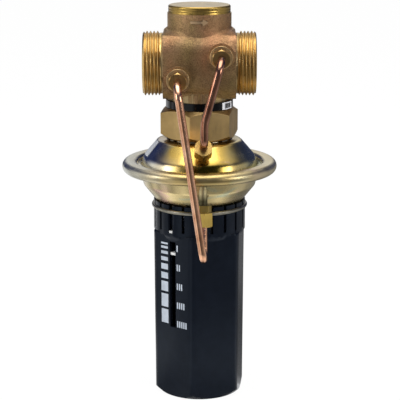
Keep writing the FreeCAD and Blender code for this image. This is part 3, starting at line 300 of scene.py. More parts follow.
def tinted(material, factor, colour, tint):
    # multiplied by the tint as far as the factor says
    return blendColours(material, factor, colour, multiplied(material, colour, tint))


def mixShaders(material, factor, first, second):
    node = addNode(material, "ShaderNodeMixShader")
    for source, socket in zip((factor, first, second), node.inputs):
        join(material, source, socket)
    return node.outputs[0]


def addBump(material, height, strength, depth, under=None):
    node = addNode(material, "ShaderNodeBump", Strength=strength, Distance=depth)
    join(material, height, node.inputs["Height"])
    if under is not None:
        join(material, under, node.inputs["Normal"])
    toShader(material, node.outputs["Normal"], "Normal")
    return node.outputs["Normal"]


# looks: a noise is (scale, detail, roughness, distortion), a relief is (strength, depth)

castSkinLook = {
    "colour": (0.39, 0.243, 0.115), "metallic": 0.8, "roughness": 0.5,
    "patches": (60, 5, 0.6),
    "patchTints": [(0.30, (0.27, 0.16, 0.073)), (0.50, (0.39, 0.243, 0.115)), (0.70, (0.51, 0.295, 0.150))],
    "drift": (38, 3, 0.55), "driftStretch": (1, 1, 0.55),
    "driftTints": [(0.36, (0.90, 0.98, 0.84)), (0.50, 1), (0.64, (1.08, 0.92, 0.90))],
    "grain": (1300, 3, 0.6), "grainShade": [(0.30, (0.44, 0.43, 0.42)), (0.62, 1)],
    "polish": (300, 4), "polishEnds": (0.42, 0.62),
    "coarse": (420, 4, 0.6), "coarseRelief": (0.35, 0.0006), "grainRelief": (0.6, 0.0004),
}


def makeCastSkin():
    look = castSkinLook
    skin = newMaterial("cast_brass_skin", look["colour"], look["metallic"], look["roughness"])
    point = objectPoint(skin)
    patches = ramp(skin, noise(skin, point, *look["patches"]), look["patchTints"])
    drift = noise(skin, objectPoint(skin, look["driftStretch"]), *look["drift"])
    tints = multiplied(skin, patches, ramp(skin, drift, look["driftTints"]))
    grain = noise(skin, point, *look["grain"])
    toShader(skin, multiplied(skin, tints, ramp(skin, grain, look["grainShade"])), "Base Color")
    toShader(skin, spread(skin, noise(skin, point, *look["polish"]), *look["polishEnds"]), "Roughness")
    coarse = addBump(skin, noise(skin, point, *look["coarse"]), *look["coarseRelief"])
    addBump(skin, grain, *look["grainRelief"], coarse)
    return skin


# metals and plastics: a tone that drifts between two shades of the colour, an uneven polish and a fine relief

turnedLook = {
    "metallic": 1.0, "tone": (120, 4), "toneEnds": (0.35, 0.65), "shades": (0.78, 1),
    "polish": (500, 3), "polishEnds": (0.75, 1.35),
}
# milled or drawn flats have a faint grain along the length
flatLook = {
    "metallic": 1.0, "tone": (90, 5), "toneEnds": (0.32, 0.68), "shades": (0.72, 1),
    "polish": (900, 4, 0.6), "polishEnds": (0.8, 1.3), "stretch": (1, 1, 0.12),
    "bump": (900, 4, 0.6), "relief": (0.12, 0.0002),
}
steelLook = {
    "metallic": 1.0, "tone": (200, 4, 0.6), "toneEnds": (0.3, 0.7), "shades": (0.7, 1),
    "polish": (1200, 3), "polishEnds": (0.8, 1.3), "bump": (1800, 3), "relief": (0.08, 0.0001),
}
plasticLook = {
    "metallic": 0.0, "tone": (160, 4), "toneEnds": (0.35, 0.7), "shades": (1, 1.25),
    "polish": (2600, 2), "polishEnds": (0.88, 1.15), "bump": (2600, 2), "relief": (0.10, 0.00012),
}
filmLook = {**plasticLook, "polish": (900, 2), "bump": (900, 2)}
ringLook = {"Distortion": 0.6, "Detail": 2, "Detail Scale": 1.5}
ringRepeat = 20
ringStrength = 0.3


def turningMarks(material, point, period):
    # rings round the upright axis, one every period
    node = addNode(material, "ShaderNodeTexWave", wave_type="RINGS", rings_direction="Z",
                   Scale=math.tau / (ringRepeat * period), **ringLook)
    join(material, point, node.inputs["Vector"])
    return node.outputs["Fac"]


def makeGrained(look, name, colour, roughness, paintedShade=None, marks=None, **sockets):
    material = newMaterial(name, colour, look["metallic"], roughness, **sockets)
    point = objectPoint(material)
    shades = [tuple(min(1.0, part * share) for part in colour) for share in look["shades"]]
    tone = noise(material, point, *look["tone"])
    tints = ramp(material, tone, list(zip(look["toneEnds"], shades)))
    if paintedShade:
        # painted shade: the flank picked out by the reach is darkened by the tint
        flank = spread(material, splitPoint(material, point)["X"], 1, 0, *paintedShade["reach"])
        tints = tinted(material, flank, tints, paintedShade["tint"])
    toShader(material, tints, "Base Color")
    along = objectPoint(material, look.get("stretch", (1, 1, 1)))
    low, high = (roughness * share for share in look["polishEnds"])
    toShader(material, spread(material, noise(material, along, *look["polish"]), low, high), "Roughness")
    if marks:
        addBump(material, turningMarks(material, point, marks["period"]), ringStrength, marks["depth"])
    elif "bump" in look:
        addBump(material, noise(material, along, *look["bump"]), *look["relief"])
    return material


# yellow passivated zinc: thin tints that drift round and up the sheet

chromateLook = {
    "drift": (26, 3, 0.5, 1.2), "driftStretch": (1, 1, 3.5),
    "wander": (40, 2), "wanderEnds": (-0.008, 0.008), "rimReach": (0.042, 0.047),
    "fine": (160, 4), "fineShade": [(0.3, 0.92), (0.7, 1)], "polishEnds": (0.85, 1.2),
    "waves": (70, 2), "relief": (0.05, 0.0008),
}
domeLook = {
    "tints": [(0.30, (0.60, 0.49, 0.19)), (0.44, (0.74, 0.49, 0.11)),
              (0.60, (0.72, 0.49, 0.125)), (0.74, (0.66, 0.44, 0.27))],
    "roughness": 0.24, "rim": 0.12, "rimShade": (0.74, 0.68, 0.56),
    # left, right and foot: painted reflection on the flanks
    "left": (0.44, 0.46, 0.50), "right": (0.46, 0.47, 0.31), "sideReach": (0.014, 0.036),
    "foot": (0.88, 0.84, 0.68), "footTop": (-0.0635, -0.0615),
    # the tints below are painted shade: under the upper port and on the land under the union nut
    "olive": (0.09, 0.10, 0.055), "oliveMiddle": 0.002, "oliveReach": (0.007, 0.014),
    "oliveTop": (-0.0615, -0.0575), "oliveFront": (-0.02, 0),
    "land": (0.24, 0.20, 0.13), "landFoot": (-0.0502, -0.0495),
}
bowlLook = {
    "tints": [(0.30, (0.46, 0.46, 0.29)), (0.42, (0.62, 0.49, 0.23)),
              (0.56, (0.66, 0.52, 0.26)), (0.68, (0.68, 0.45, 0.33))],
    "roughness": 0.26, "rim": 0.08, "rimShade": (0.76, 0.72, 0.62),
    # left, right and rimLeft: painted reflection on the flanks
    "left": (0.42, 0.415, 0.36), "right": (0.66, 0.58, 0.38), "sideReach": (0.018, 0.048),
    "rimLeft": (0.58, 0.57, 0.49),
}


def makeChromate(name, look):
    film = chromateLook
    zinc = newMaterial(name, look["tints"][1][1], 1.0, look["roughness"])
    point = objectPoint(zinc)
    place = splitPoint(zinc, point)
    radius = vectorMath(zinc, "LENGTH", objectPoint(zinc, (1, 1, 0))).outputs["Value"]
    rim = spread(zinc, radius, 0, 1, *film["rimReach"])
    drift = noise(zinc, objectPoint(zinc, film["driftStretch"]), *film["drift"])
    tints = tinted(zinc, rim, ramp(zinc, drift, look["tints"]), look["rimShade"])
    # painted reflection: both flanks are tinted greyer and darker, standing in for the dark room they reflect,
    # with a wandering edge
    wander = spread(zinc, noise(zinc, point, *film["wander"]), *film["wanderEnds"])
    across = calculate(zinc, "ADD", place["X"], wander)
    start, end = look["sideReach"]
    tints = blendColours(zinc, spread(zinc, across, 0, 1, start, end), tints, look["right"])
    leftReflectionTint = look["left"]
    if "foot" in look:
        # the painted reflection on the left is paler on the upright foot of the dome
        foot = spread(zinc, place["Z"], 1, 0, *look["footTop"])
        leftReflectionTint = blendColours(zinc, foot, leftReflectionTint, look["foot"])
    # the painted reflection on the left is paler on the rim
    if "rimLeft" in look:
        leftReflectionTint = blendColours(zinc, rim, leftReflectionTint, look["rimLeft"])
    tints = blendColours(zinc, spread(zinc, across, 1, 0, -end, -start), tints, leftReflectionTint)
    if "olive" in look:
        # painted shade: a darker patch on the dome below the upper port
        aside = calculate(zinc, "ABSOLUTE", calculate(zinc, "SUBTRACT", across, look["oliveMiddle"]))
        portShadePatch = product(zinc, spread(zinc, aside, 1, 0, *look["oliveReach"]),
                        spread(zinc, place["Z"], 1, 0, *look["oliveTop"]),
                        spread(zinc, place["Y"], 1, 0, *look["oliveFront"]))
        tints = tinted(zinc, portShadePatch, tints, look["olive"])
    if "land" in look:
        # painted shade: the raised land under the union nut is darkened
        tints = blendColours(zinc, spread(zinc, place["Z"], 0, 1, *look["landFoot"]), tints, look["land"])
    fine = noise(zinc, point, *film["fine"])
    toShader(zinc, multiplied(zinc, tints, ramp(zinc, fine, film["fineShade"])), "Base Color")
    # the rolled rim is a little duller than the sheet
    low, high = (look["roughness"] * share for share in film["polishEnds"])
    duller = spread(zinc, radius, 0, look["rim"], *film["rimReach"])
    toShader(zinc, calculate(zinc, "ADD", spread(zinc, fine, low, high), duller), "Roughness")
    addBump(zinc, noise(zinc, point, *film["waves"]), *film["relief"])
    return zinc


copperLook = {
    "roughness": 0.14, "tarnish": (110, 5, 0.6), "polish": (700, 4), "polishEnds": (0.13, 0.22),
    "stretch": (1, 1, 0.15), "bump": (1400, 3), "relief": (0.04, 0.0001),
    "bright": [(0.28, (0.56, 0.27, 0.15)), (0.52, (0.78, 0.42, 0.25)), (0.75, (0.90, 0.55, 0.36))],
    "tarnished": [(0.28, (0.22, 0.095, 0.06)), (0.52, (0.36, 0.17, 0.105)), (0.75, (0.52, 0.27, 0.175))],
}


def makeCopper(name, tints):
    look = copperLook
    copper = newMaterial(name, tints[1][1], 1.0, look["roughness"])
    point = objectPoint(copper)
    toShader(copper, ramp(copper, noise(copper, point, *look["tarnish"]), tints), "Base Color")
    toShader(copper, spread(copper, noise(copper, point, *look["polish"]), *look["polishEnds"]), "Roughness")
    along = objectPoint(copper, look["stretch"])
    addBump(copper, noise(copper, along, *look["bump"]), *look["relief"])
    return copper


neckLook = {
    "zinc": (0.52, 0.44, 0.24), "sooty": (0.09, 0.08, 0.04), "sootReach": (-0.0830, -0.0785),
    "roughness": 0.55, "polish": (1200, 3), "polishEnds": (0.8, 1.2),
}


def makeNeckZinc():
    # plated neck of the lower port, with painted shade darkening it where it meets the hexagon
    look = neckLook
    zinc = newMaterial("zinc_port_neck", look["zinc"], 1.0, look["roughness"])
    point = objectPoint(zinc)
    paintedShade = spread(zinc, splitPoint(zinc, point)["Z"], 1, 0, *look["sootReach"])
    toShader(zinc, blendColours(zinc, paintedShade, look["zinc"], look["sooty"]), "Base Color")
    low, high = (look["roughness"] * share for share in look["polishEnds"])
    toShader(zinc, spread(zinc, noise(zinc, point, *look["polish"]), low, high), "Roughness")
    return zinc


# painted shade: the nut's flank away from the outlet is darkened
nutFlankShade = {"tint": (0.72, 0.71, 0.68), "reach": (-0.020, -0.010)}
facedMarks = {"period": 0.0006, "depth": 0.000006}
turnedMarks = {"period": 0.0004, "depth": 0.00001}
blueSheen = (0.72, 0.86, 1, 1)

castSkin = makeCastSkin()
capBrass = makeGrained(turnedLook, "turned_cap_brass", (0.43, 0.28, 0.07), 0.32)
capTopBrass = makeGrained(turnedLook, "faced_cap_brass", (0.56, 0.46, 0.29), 0.38, marks=facedMarks)
spigotBrass = makeGrained(turnedLook, "turned_spigot_brass", (0.68, 0.465, 0.18), 0.34)
landBrass = makeGrained(turnedLook, "turned_land_brass", (0.50, 0.37, 0.19), 0.34, marks=turnedMarks)
nutBrass = makeGrained(flatLook, "milled_nut_brass", (0.60, 0.41, 0.172), 0.42, paintedShade=nutFlankShade)
fittingBrass = makeGrained(flatLook, "bright_fitting_brass", (0.74, 0.48, 0.15), 0.28)
tapBrass = makeGrained(flatLook, "warm_tap_brass", (0.86, 0.60, 0.29), 0.36)
# the tap nuts and ferrules take a darker brass: painted shade round where the tubes enter
tapNutBrass = makeGrained(flatLook, "dark_tap_nut_brass", (0.50, 0.31, 0.11), 0.30)
# the arrow's sides take painted shade; its top is lighter, partly wear and partly a painted highlight
wornHighlitSkin = makeGrained(flatLook, "worn_highlit_cast_brass", (0.80, 0.56, 0.31), 0.5)
shadedSkin = makeGrained(flatLook, "shaded_cast_brass", (0.15, 0.09, 0.045), 0.6)
# the lower port's fittings take a darker, duller brass: painted shade under the bowl
dullShadedBrass = makeGrained(flatLook, "dull_shaded_fitting_brass", (0.50, 0.345, 0.085), 0.38)
neckZinc = makeNeckZinc()
domeZinc = makeChromate("yellow_zinc_dome", domeLook)
bowlZinc = makeChromate("yellow_zinc_bowl", bowlLook)
copper = makeCopper("drawn_copper", copperLook["bright"])
darkCopper = makeCopper("tarnished_copper", copperLook["tarnished"])
blackPlastic = makeGrained(plasticLook, "black_moulded_plastic", (0.0052, 0.0070, 0.0118), 0.19,
                           Specular_IOR_Level=0.13, Specular_Tint=blueSheen)
bandFilm = makeGrained(filmLook, "black_band_film", (0.0008, 0.0007, 0.001), 0.14, Specular_IOR_Level=0.2)
whitePlastic = makeGrained(plasticLook, "white_moulded_plastic", (0.72, 0.73, 0.72), 0.42)
scaleInk = makeGrained(plasticLook, "scale_ink", (0.46, 0.51, 0.58), 0.5)
tagFilm = makeGrained(filmLook, "white_tag_film", (0.74, 0.75, 0.78), 0.3)
labelFilm = makeGrained(filmLook, "silver_label_film", (0.50, 0.52, 0.55), 0.34)
wireSteel = makeGrained(steelLook, "retaining_wire_steel", (0.30, 0.28, 0.22), 0.34)
springSteel = makeGrained(steelLook, "spring_steel", (0.20, 0.20, 0.20), 0.35)
plainZinc = makeGrained(steelLook, "plain_zinc_steel", (0.55, 0.56, 0.58), 0.3)
stainless = makeGrained(steelLook, "stainless_steel", (0.58, 0.58, 0.57), 0.25)
rubber = makeGrained(plasticLook, "black_rubber", (0.012, 0.012, 0.012), 0.62)
print("materials made:", len(bpy.data.materials))


# finishes on the solids

solidFinish = {
    "seat_ring": stainless, "body_cap": capBrass, "cap_o_ring": rubber, "stem_guide": landBrass,
    "guide_o_ring": rubber, "stem_o_ring": rubber, "id_band": bandFilm, "band_label": tagFilm,
    "union_nut": nutBrass, "tail_gasket": rubber, "actuator_tail": landBrass, "tail_lock_nut": landBrass,
    "upper_casing": domeZinc, "lower_casing": bowlZinc, "casing_label": labelFilm, "diaphragm": rubber,
    "upper_plate": plainZinc, "lower_plate": plainZinc, "plate_nut": stainless, "valve_cone": landBrass,
    "piston_o_ring": rubber, "cone_seal": rubber, "cone_nut": landBrass, "valve_stem": stainless,
    "actuator_stem": stainless, "spring_plate": plainZinc, "spring_plate_nut": stainless,
    "setting_spring": springSteel, "adjusting_sleeve": plainZinc, "sleeve_o_ring": rubber,
    "sleeve_lock_nut": landBrass, "swivel_collar": blackPlastic, "handle": blackPlastic,
    "retaining_ring": wireSteel, "index_mark": whitePlastic, "adjusting_nut": blackPlastic,
    "setting_pointer": whitePlastic, "inlet_tube": copper, "outlet_tube": darkCopper, "valve_body": castSkin,
}
portFinish = {
    "inlet_tap": {"nipple": tapBrass, "nut": tapNutBrass, "ferrule": tapNutBrass},
    "outlet_tap": {"nipple": tapBrass, "nut": tapNutBrass, "ferrule": tapNutBrass},
    "upper_port": {"nipple": fittingBrass, "nut": fittingBrass, "ferrule": fittingBrass},
    "lower_port": {"nipple": dullShadedBrass, "nut": dullShadedBrass, "ferrule": dullShadedBrass},
}
for port, finishes in portFinish.items():
    for kind, finish in finishes.items():
        solidFinish[f"{port}_{kind}"] = finish
for node, finish in solidFinish.items():
    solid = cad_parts[node]
    if solid.material_slots:
        for place in solid.material_slots:
            place.material = finish
    else:
        solid.data.materials.append(finish)
print("solids finished:", len(solidFinish))


# cast block with turned skirt, between the two spigots

castFacts = {
    "cut": 24.6, "skirtTop": -21.6, "neckTop": 33.1, "chamberRadius": 17.2,
    "reliefSide": 23.7, "reliefRadius": 19.9, "smooth": 32, "weight": 100,
}


def castFinish(face):
    # 0 rough cast skin, 1 turned faces
    facts = castFacts
    middle = face.calc_center_median() / mm
    inChamber = math.hypot(middle.x, middle.y) < facts["chamberRadius"]
    onRelief = abs(middle.x) > facts["reliefSide"] and math.hypot(middle.y, middle.z) < facts["reliefRadius"]
    turned = middle.z < facts["skirtTop"] or middle.z > facts["neckTop"] or inChamber or onRelief
    return 1 if turned else 0


def makeCastBody():
    facts = castFacts
    bm = mergedCopy("valve_body")
    joinFlats(bm)
    for way in (-1, 1):
        rim = cutAcross(bm, (way * facts["cut"] * mm, 0, 0), (way, 0, 0), True)
        bmesh.ops.bridge_loops(bm, edges=rim)
    bmesh.ops.recalc_face_normals(bm, faces=bm.faces)
    for face in bm.faces:
        face.material_index = castFinish(face)
    piece = addPiece("castBody", bm, [castSkin, landBrass], "housing", ("valve_body",),
                     facts["smooth"])
    addWeightedNormals(piece, facts["weight"])


# threaded spigots, right-hand G 1 1/4

threadFacts = {
    "pitch": 2.309, "outside": 20.955, "root": 19.476,
    "flank": (0.13, 0.87), "straight": 0.55, "rounded": 0.45,
    "joint": 24.5, "start": 25.4, "end": 36.8, "chamfer": 1.3, "runout": 1.6,
    "relief": 19.8, "bore": 13.0, "boreEdge": 0.6,
    "steps": 128, "rows": 12, "smooth": 70,
}


def ridge(phase):
    # flanks with rounded crest and root, one ridge for each whole phase
    facts = threadFacts
    rise = shareOf(abs(2 * (phase % 1) - 1), *facts["flank"])
    return facts["straight"] * rise + facts["rounded"] * eased(rise)


def threadPoint(row, turn):
    # rows follow the helix and stop at both ends of the thread
    facts = threadFacts
    phase = row / facts["rows"] + turn
    x = facts["start"] + (phase - 1) * facts["pitch"]
    radius = facts["root"] + (facts["outside"] - facts["root"]) * ridge(row / facts["rows"])
    if x <= facts["start"]:
        x, radius = facts["start"], facts["relief"]
    elif x >= facts["end"]:
        x, radius = facts["end"], facts["root"]
    else:
        lead = facts["outside"] - max(0, x - facts["end"] + facts["chamfer"])
        runout = facts["relief"] + (x - facts["start"]) * facts["runout"]
        radius = min(radius, lead, runout)
    angle = math.tau * turn
    return Vector((x, -radius * math.cos(angle), -radius * math.sin(angle))) * mm


def makeSpigot(name, way):
    facts = threadFacts
    bore, end, joint, relief = facts["bore"], facts["end"], facts["joint"], facts["relief"]
    edge, steps = facts["boreEdge"], facts["steps"]
    bm = bmesh.new()
    points = [(facts["root"], end), (bore + edge, end), (bore, end - edge), (bore, joint),
              (relief, joint), (relief, facts["start"])]
    spinProfile(bm, points, (1, 0, 0), steps)
    turns = (end - facts["start"]) / facts["pitch"] + 1
    last = math.ceil(turns * facts["rows"])
    columns = [[bm.verts.new(threadPoint(row, step / steps)) for row in range(last + 1)]
               for step in range(steps)]
    for step in range(steps):
        here = columns[step]
        there = columns[(step + 1) % steps]
        # one turn on, the same row has moved along by one pitch
        shift = 0 if step + 1 < steps else facts["rows"]
        for row in range(last):
            low = min(row + shift, last)
            high = min(row + 1 + shift, last)
            corners = [here[row], there[low], there[high], here[row + 1]]
            if low == high:
                corners.pop(2)
            bm.faces.new(corners)
    bmesh.ops.remove_doubles(bm, verts=bm.verts, dist=meshFacts["weldReach"])
    if way < 0:
        bmesh.ops.rotate(bm, verts=bm.verts, cent=(0, 0, 0), matrix=Matrix.Rotation(math.pi, 3, "Z"))
    bmesh.ops.recalc_face_normals(bm, faces=bm.faces)
    addPiece(name, bm, [spigotBrass], "housing", ("valve_body",), facts["smooth"])


# raised arrow on the neck, along the flow

arrowFacts = {
    "radius": 20.7, "proud": 0.8, "sink": 0.3, "height": 28.6, "half": 5.6, "head": 3.6, "wing": 2.3,
    "shaft": 0.8, "step": 0.4, "wornHighlitDepth": 0.1, "smooth": 30,
}


def makeFlowArrow():
    facts = arrowFacts
    half, wing, shaft = facts["half"], facts["wing"], facts["shaft"]
    neck = half - facts["head"]
    outline = [(-half, -shaft), (neck, -shaft), (neck, -wing), (half, 0), (neck, wing), (neck, shaft),
               (-half, shaft)]
    bm = bmesh.new()
    flat = bm.faces.new([bm.verts.new((u * mm, 0, (facts["height"] + v) * mm)) for u, v in outline])
    bmesh.ops.triangulate(bm, faces=[flat])
    for index in range(int(2 * half / facts["step"])):
        place = (-half + facts["step"] * (index + 0.5)) * mm
        cutAcross(bm, (place, 0, 0), (1, 0, 0))
    raised = bmesh.ops.extrude_face_region(bm, geom=list(bm.faces))
    front = {item for item in raised["geom"] if isinstance(item, bmesh.types.BMVert)}
    for vert in bm.verts:
        # bent round the neck
        angle = vert.co.x / (facts["radius"] * mm)
        radius = (facts["radius"] + (facts["proud"] if vert in front else -facts["sink"])) * mm
        vert.co = Vector((radius * math.sin(angle), -radius * math.cos(angle), vert.co.z))
    bmesh.ops.recalc_face_normals(bm, faces=bm.faces)
    # dark sides are painted shade; the lighter top is partly wear and partly a painted highlight
    wornHighlitFrom = (facts["radius"] + facts["proud"] - facts["wornHighlitDepth"]) * mm
    for face in bm.faces:
        middle = face.calc_center_median()
        face.material_index = 1 if math.hypot(middle.x, middle.y) > wornHighlitFrom else 0
    addPiece("flowArrow", bm, [shadedSkin, wornHighlitSkin], "housing", (), facts["smooth"])


# printed scale beside the slot: growing bars on the left, strokes to count on the right

scaleFacts = {
    "face": -38.5, "ink": 0.05, "sink": 0.15, "castFrom": 60, "castReach": 100,
    "bars": {"from": -9.75, "to": -3.95,
             "ends": [(-116.2, -117.4), (-118.7, -120.3), (-122.1, -124.1), (-126.1, -128.7),
                      (-130.8, -134.7), (-136.8, -141.0), (-143.0, -149.8), (-151.6, -160.7),
                      (-162.3, -171.9)]},
    "strokes": {"from": 3.5, "pitch": 1.76, "width": 1.0, "height": 4.4, "first": -118.9, "drop": 13.02,
                "groups": 5},
}


def makeScale():
    facts = scaleFacts
    turn = Matrix.Rotation(math.radians(facts["face"]), 3, "Z")
    out = turn @ Vector((0, -1, 0))
    along = turn @ Vector((1, 0, 0))
    grip = BVHTree.FromObject(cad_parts["handle"], bpy.context.evaluated_depsgraph_get())
    bars, strokes = facts["bars"], facts["strokes"]
    marks = [(bars["from"], bars["to"], low, high) for high, low in bars["ends"]]
    for group in range(strokes["groups"]):
        middle = strokes["first"] - strokes["drop"] * group
        low, high = middle - strokes["height"] / 2, middle + strokes["height"] / 2
        for index in range(group + 1):
            left = strokes["from"] + strokes["pitch"] * index
            marks.append((left, left + strokes["width"], low, high))
    bm = bmesh.new()
    for mark in marks:
        corners = []
        for u, z in boxCorners(*mark):
            start = along * u * mm + out * facts["castFrom"] * mm + Vector((0, 0, z * mm))
            corners.append(grip.ray_cast(start, -out, facts["castReach"] * mm)[0])
        addPlate(bm, [place - out * facts["sink"] * mm for place in corners],
                 [place + out * facts["ink"] * mm for place in corners])
    bmesh.ops.recalc_face_normals(bm, faces=bm.faces)
    addPiece("printedScale", bm, [scaleInk], "handle_grip")


# setting spring: cut at its waist into its lowest coil, left without a body, and the coils above it, on the
# housing

springFacts = {"foot": -211.0, "waist": -190.0, "keep": 0.255, "smooth": 40}


def cutSpring(waist, way):
    bm = mergedCopy("setting_spring")
    rim = cutAcross(bm, waist, (0, 0, way), True)
    bmesh.ops.holes_fill(bm, edges=rim, sides=0)
    bmesh.ops.recalc_face_normals(bm, faces=bm.faces)
    return bm


def makeSpring():
    waist = (0, 0, springFacts["waist"] * mm)
    lowest = addPiece("springFootCoil", cutSpring(waist, 1), [springSteel], None,
                      ("setting_spring",), springFacts["smooth"])
    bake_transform(lowest)
    coils = addPiece("springCoils", cutSpring(waist, -1), [springSteel], "housing",
                     ("setting_spring",), springFacts["smooth"])
    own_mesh(coils)


# diaphragm, whose rim sits between the casings: one copy of it, left without a body

diaphragmFacts = {"rimFoot": -70.25, "middleTop": -70.95, "smooth": 32}


def makeDiaphragm():
    facts = diaphragmFacts
    piece = addPiece("rollingDiaphragm", mergedCopy("diaphragm"), [rubber], None,
                     ("diaphragm",), facts["smooth"])
    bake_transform(piece)


# upper casing: its cone runs a little further down to the foot, and the sticker with it

coneFacts = {
    "top": -49.9, "from": 6.5, "knee": 9.6, "wall": 11.0, "foot": 17.4, "out": 1.7, "down": 2.0,
    "footReach": 39.5, "flangeReach": 44.0,
}


def lowerKnee(bm):
    facts = coneFacts
    for vert in bm.verts:
        radius = math.hypot(vert.co.x, vert.co.y) / mm
        drop = facts["top"] - vert.co.z / mm
        share = eased(shareOf(drop, facts["from"], facts["knee"]))
        outward = 1 + facts["out"] * share * shareOf(radius, facts["flangeReach"], facts["footReach"]) / radius
        vert.co.x *= outward
        vert.co.y *= outward
        vert.co.z -= facts["down"] * share * shareOf(drop, facts["foot"], facts["wall"]) * mm


# cap with two fine grooves turned into its side and a centre mark on top

capFacts = {
    "side": 20.2, "sideReach": 0.1, "grooves": (34.35, 35.75), "grooveReach": 0.01, "width": 0.5, "depth": 0.28,
    "top": 37.9, "level": 0.9, "markEdge": 1.4, "mark": 2.3, "smooth": 32,
}


def makeCap():
    facts = capFacts
    bm = mergedCopy("body_cap")
    for middle in facts["grooves"]:
        for height in (middle - facts["width"] / 2, middle, middle + facts["width"] / 2):
            cutAcross(bm, (0, 0, height * mm), (0, 0, 1))
    for vert in bm.verts:
        radius = math.hypot(vert.co.x, vert.co.y) / mm
        height = vert.co.z / mm
        share = 1
        fromGroove = min(abs(height - middle) for middle in facts["grooves"])
        if radius > facts["side"] - facts["sideReach"] and fromGroove < facts["grooveReach"]:
            share = 1 - facts["depth"] / radius
        elif 0 < radius < facts["markEdge"] and height > facts["top"]:
            # the centre mark opens wider
            share = facts["mark"] / radius
        vert.co.x *= share
        vert.co.y *= share
    bm.normal_update()
    # the centre mark's cone keeps the darker side brass, which also paints shade into the mark
    for face in bm.faces:
        onTop = face.calc_center_median().z > facts["top"] * mm and abs(face.normal.z) > facts["level"]
        face.material_index = 1 if onTop else 0
    piece = addPiece("turnedCap", bm, [capBrass, capTopBrass], "housing", ("body_cap",),
                     facts["smooth"])
    addWeightedNormals(piece)


# dark print on the white tag

tagFacts = {
    "radius": 22.25, "ink": 0.12, "sink": 0.2, "low": -27.5, "high": -24.1,
    "bars": [(47.8, 49.6), (50.5, 54.6), (55.4, 57.0), (57.9, 61.6), (62.4, 64.0)],
}


def makeTagPrint():
    facts = tagFacts
    bm = bmesh.new()
    for first, last in facts["bars"]:
        rings = []
        for radius in (facts["radius"] - facts["sink"], facts["radius"] + facts["ink"]):
            ring = []
            for angle, height in boxCorners(first, last, facts["low"], facts["high"]):
                turn = math.radians(angle)
                ring.append(Vector((radius * math.sin(turn), -radius * math.cos(turn), height)) * mm)
            rings.append(ring)
        addPlate(bm, *rings)
    bmesh.ops.recalc_face_normals(bm, faces=bm.faces)
    addPiece("tagPrint", bm, [bandFilm], "housing")


edgeWidths = {"nut": 0.35, "port": 0.2}
portNeckFoot = -86.5

makeCastBody()
makeCap()
makeTagPrint()
makeSpigot("inletSpigot", -1)
makeSpigot("outletSpigot", 1)
makeFlowArrow()
makeScale()
makeSpring()
makeDiaphragm()
for node, slotName in (("lower_casing", "yellow_zinc"), ("inlet_tube", "copper"), ("outlet_tube", "copper"),
                       ("id_band", "black_band"), ("band_label", "white_tag"),
                       ("actuator_tail", "turned_brass")):
    smoothCopy(node, solidFinish[node], "housing")
smoothCopy("upper_casing", domeZinc, "housing", reshape=lowerKnee)
smoothCopy("casing_label", labelFilm, "housing", reshape=lowerKnee)
smoothCopy("retaining_ring", wireSteel, "handle_grip")
smoothCopy("handle", blackPlastic, "handle_grip")
edgedCopy("union_nut", nutBrass, "housing", edgeWidths["nut"])
for port, finishes in portFinish.items():
    for kind in ("nipple", "nut"):
        piece = edgedCopy(f"{port}_{kind}", finishes[kind], "housing", edgeWidths["port"])
        if (port, kind) == ("lower_port", "nipple"):
            # its neck above the hexagon is plated
            piece.data.materials.append(neckZinc)
            for face in piece.data.polygons:
                face.material_index = 1 if face.center.z > portNeckFoot * mm else 0
print("pieces made")


# floor, light and camera; four numbers are what spread takes: low, high, start, end

floorFacts = {
    "size": 6.0, "gap": 0.0002, "colour": (0.90, 0.90, 0.90), "roughness": 0.9,
    "glow": 1.02, "glowShare": 0.95, "mirrored": (0.97, 0.98, 1),
    "near": (1.12, 0, 0.235, 0.33), "nearFoot": (0.55, 1, 0.2285, 0.2420),
    "nearBack": (1, 0, 0.05, 0.12), "nearCorner": (1, 0, 0, 0.12),
    "left": [(0.30, 0.13), (0.42, 0.9), (0.80, 0.9), (0.86, 0.25), (0.92, 0.26), (0.955, 1.2), (0.980, 1.2),
             (0.995, 0.5)],
    "leftFar": (0.15, 1.1, 0.28, 0.37),
    "leftNear": [(0.36, 0), (0.46, 0.65), (0.60, 0.65), (0.70, 0), (0.92, 0), (0.95, 0.7), (0.985, 0.7),
                 (0.998, 0.2)],
    "leftNearReach": (1, 0, 0.27, 0.36), "leftNearFoot": (0.25, 1, 0.2285, 0.2500),
    "right": [(0.30, 0), (0.90, 0.18), (0.985, 0.5)],
    "back": (0, 0.06, 0.1, 0.8),
}


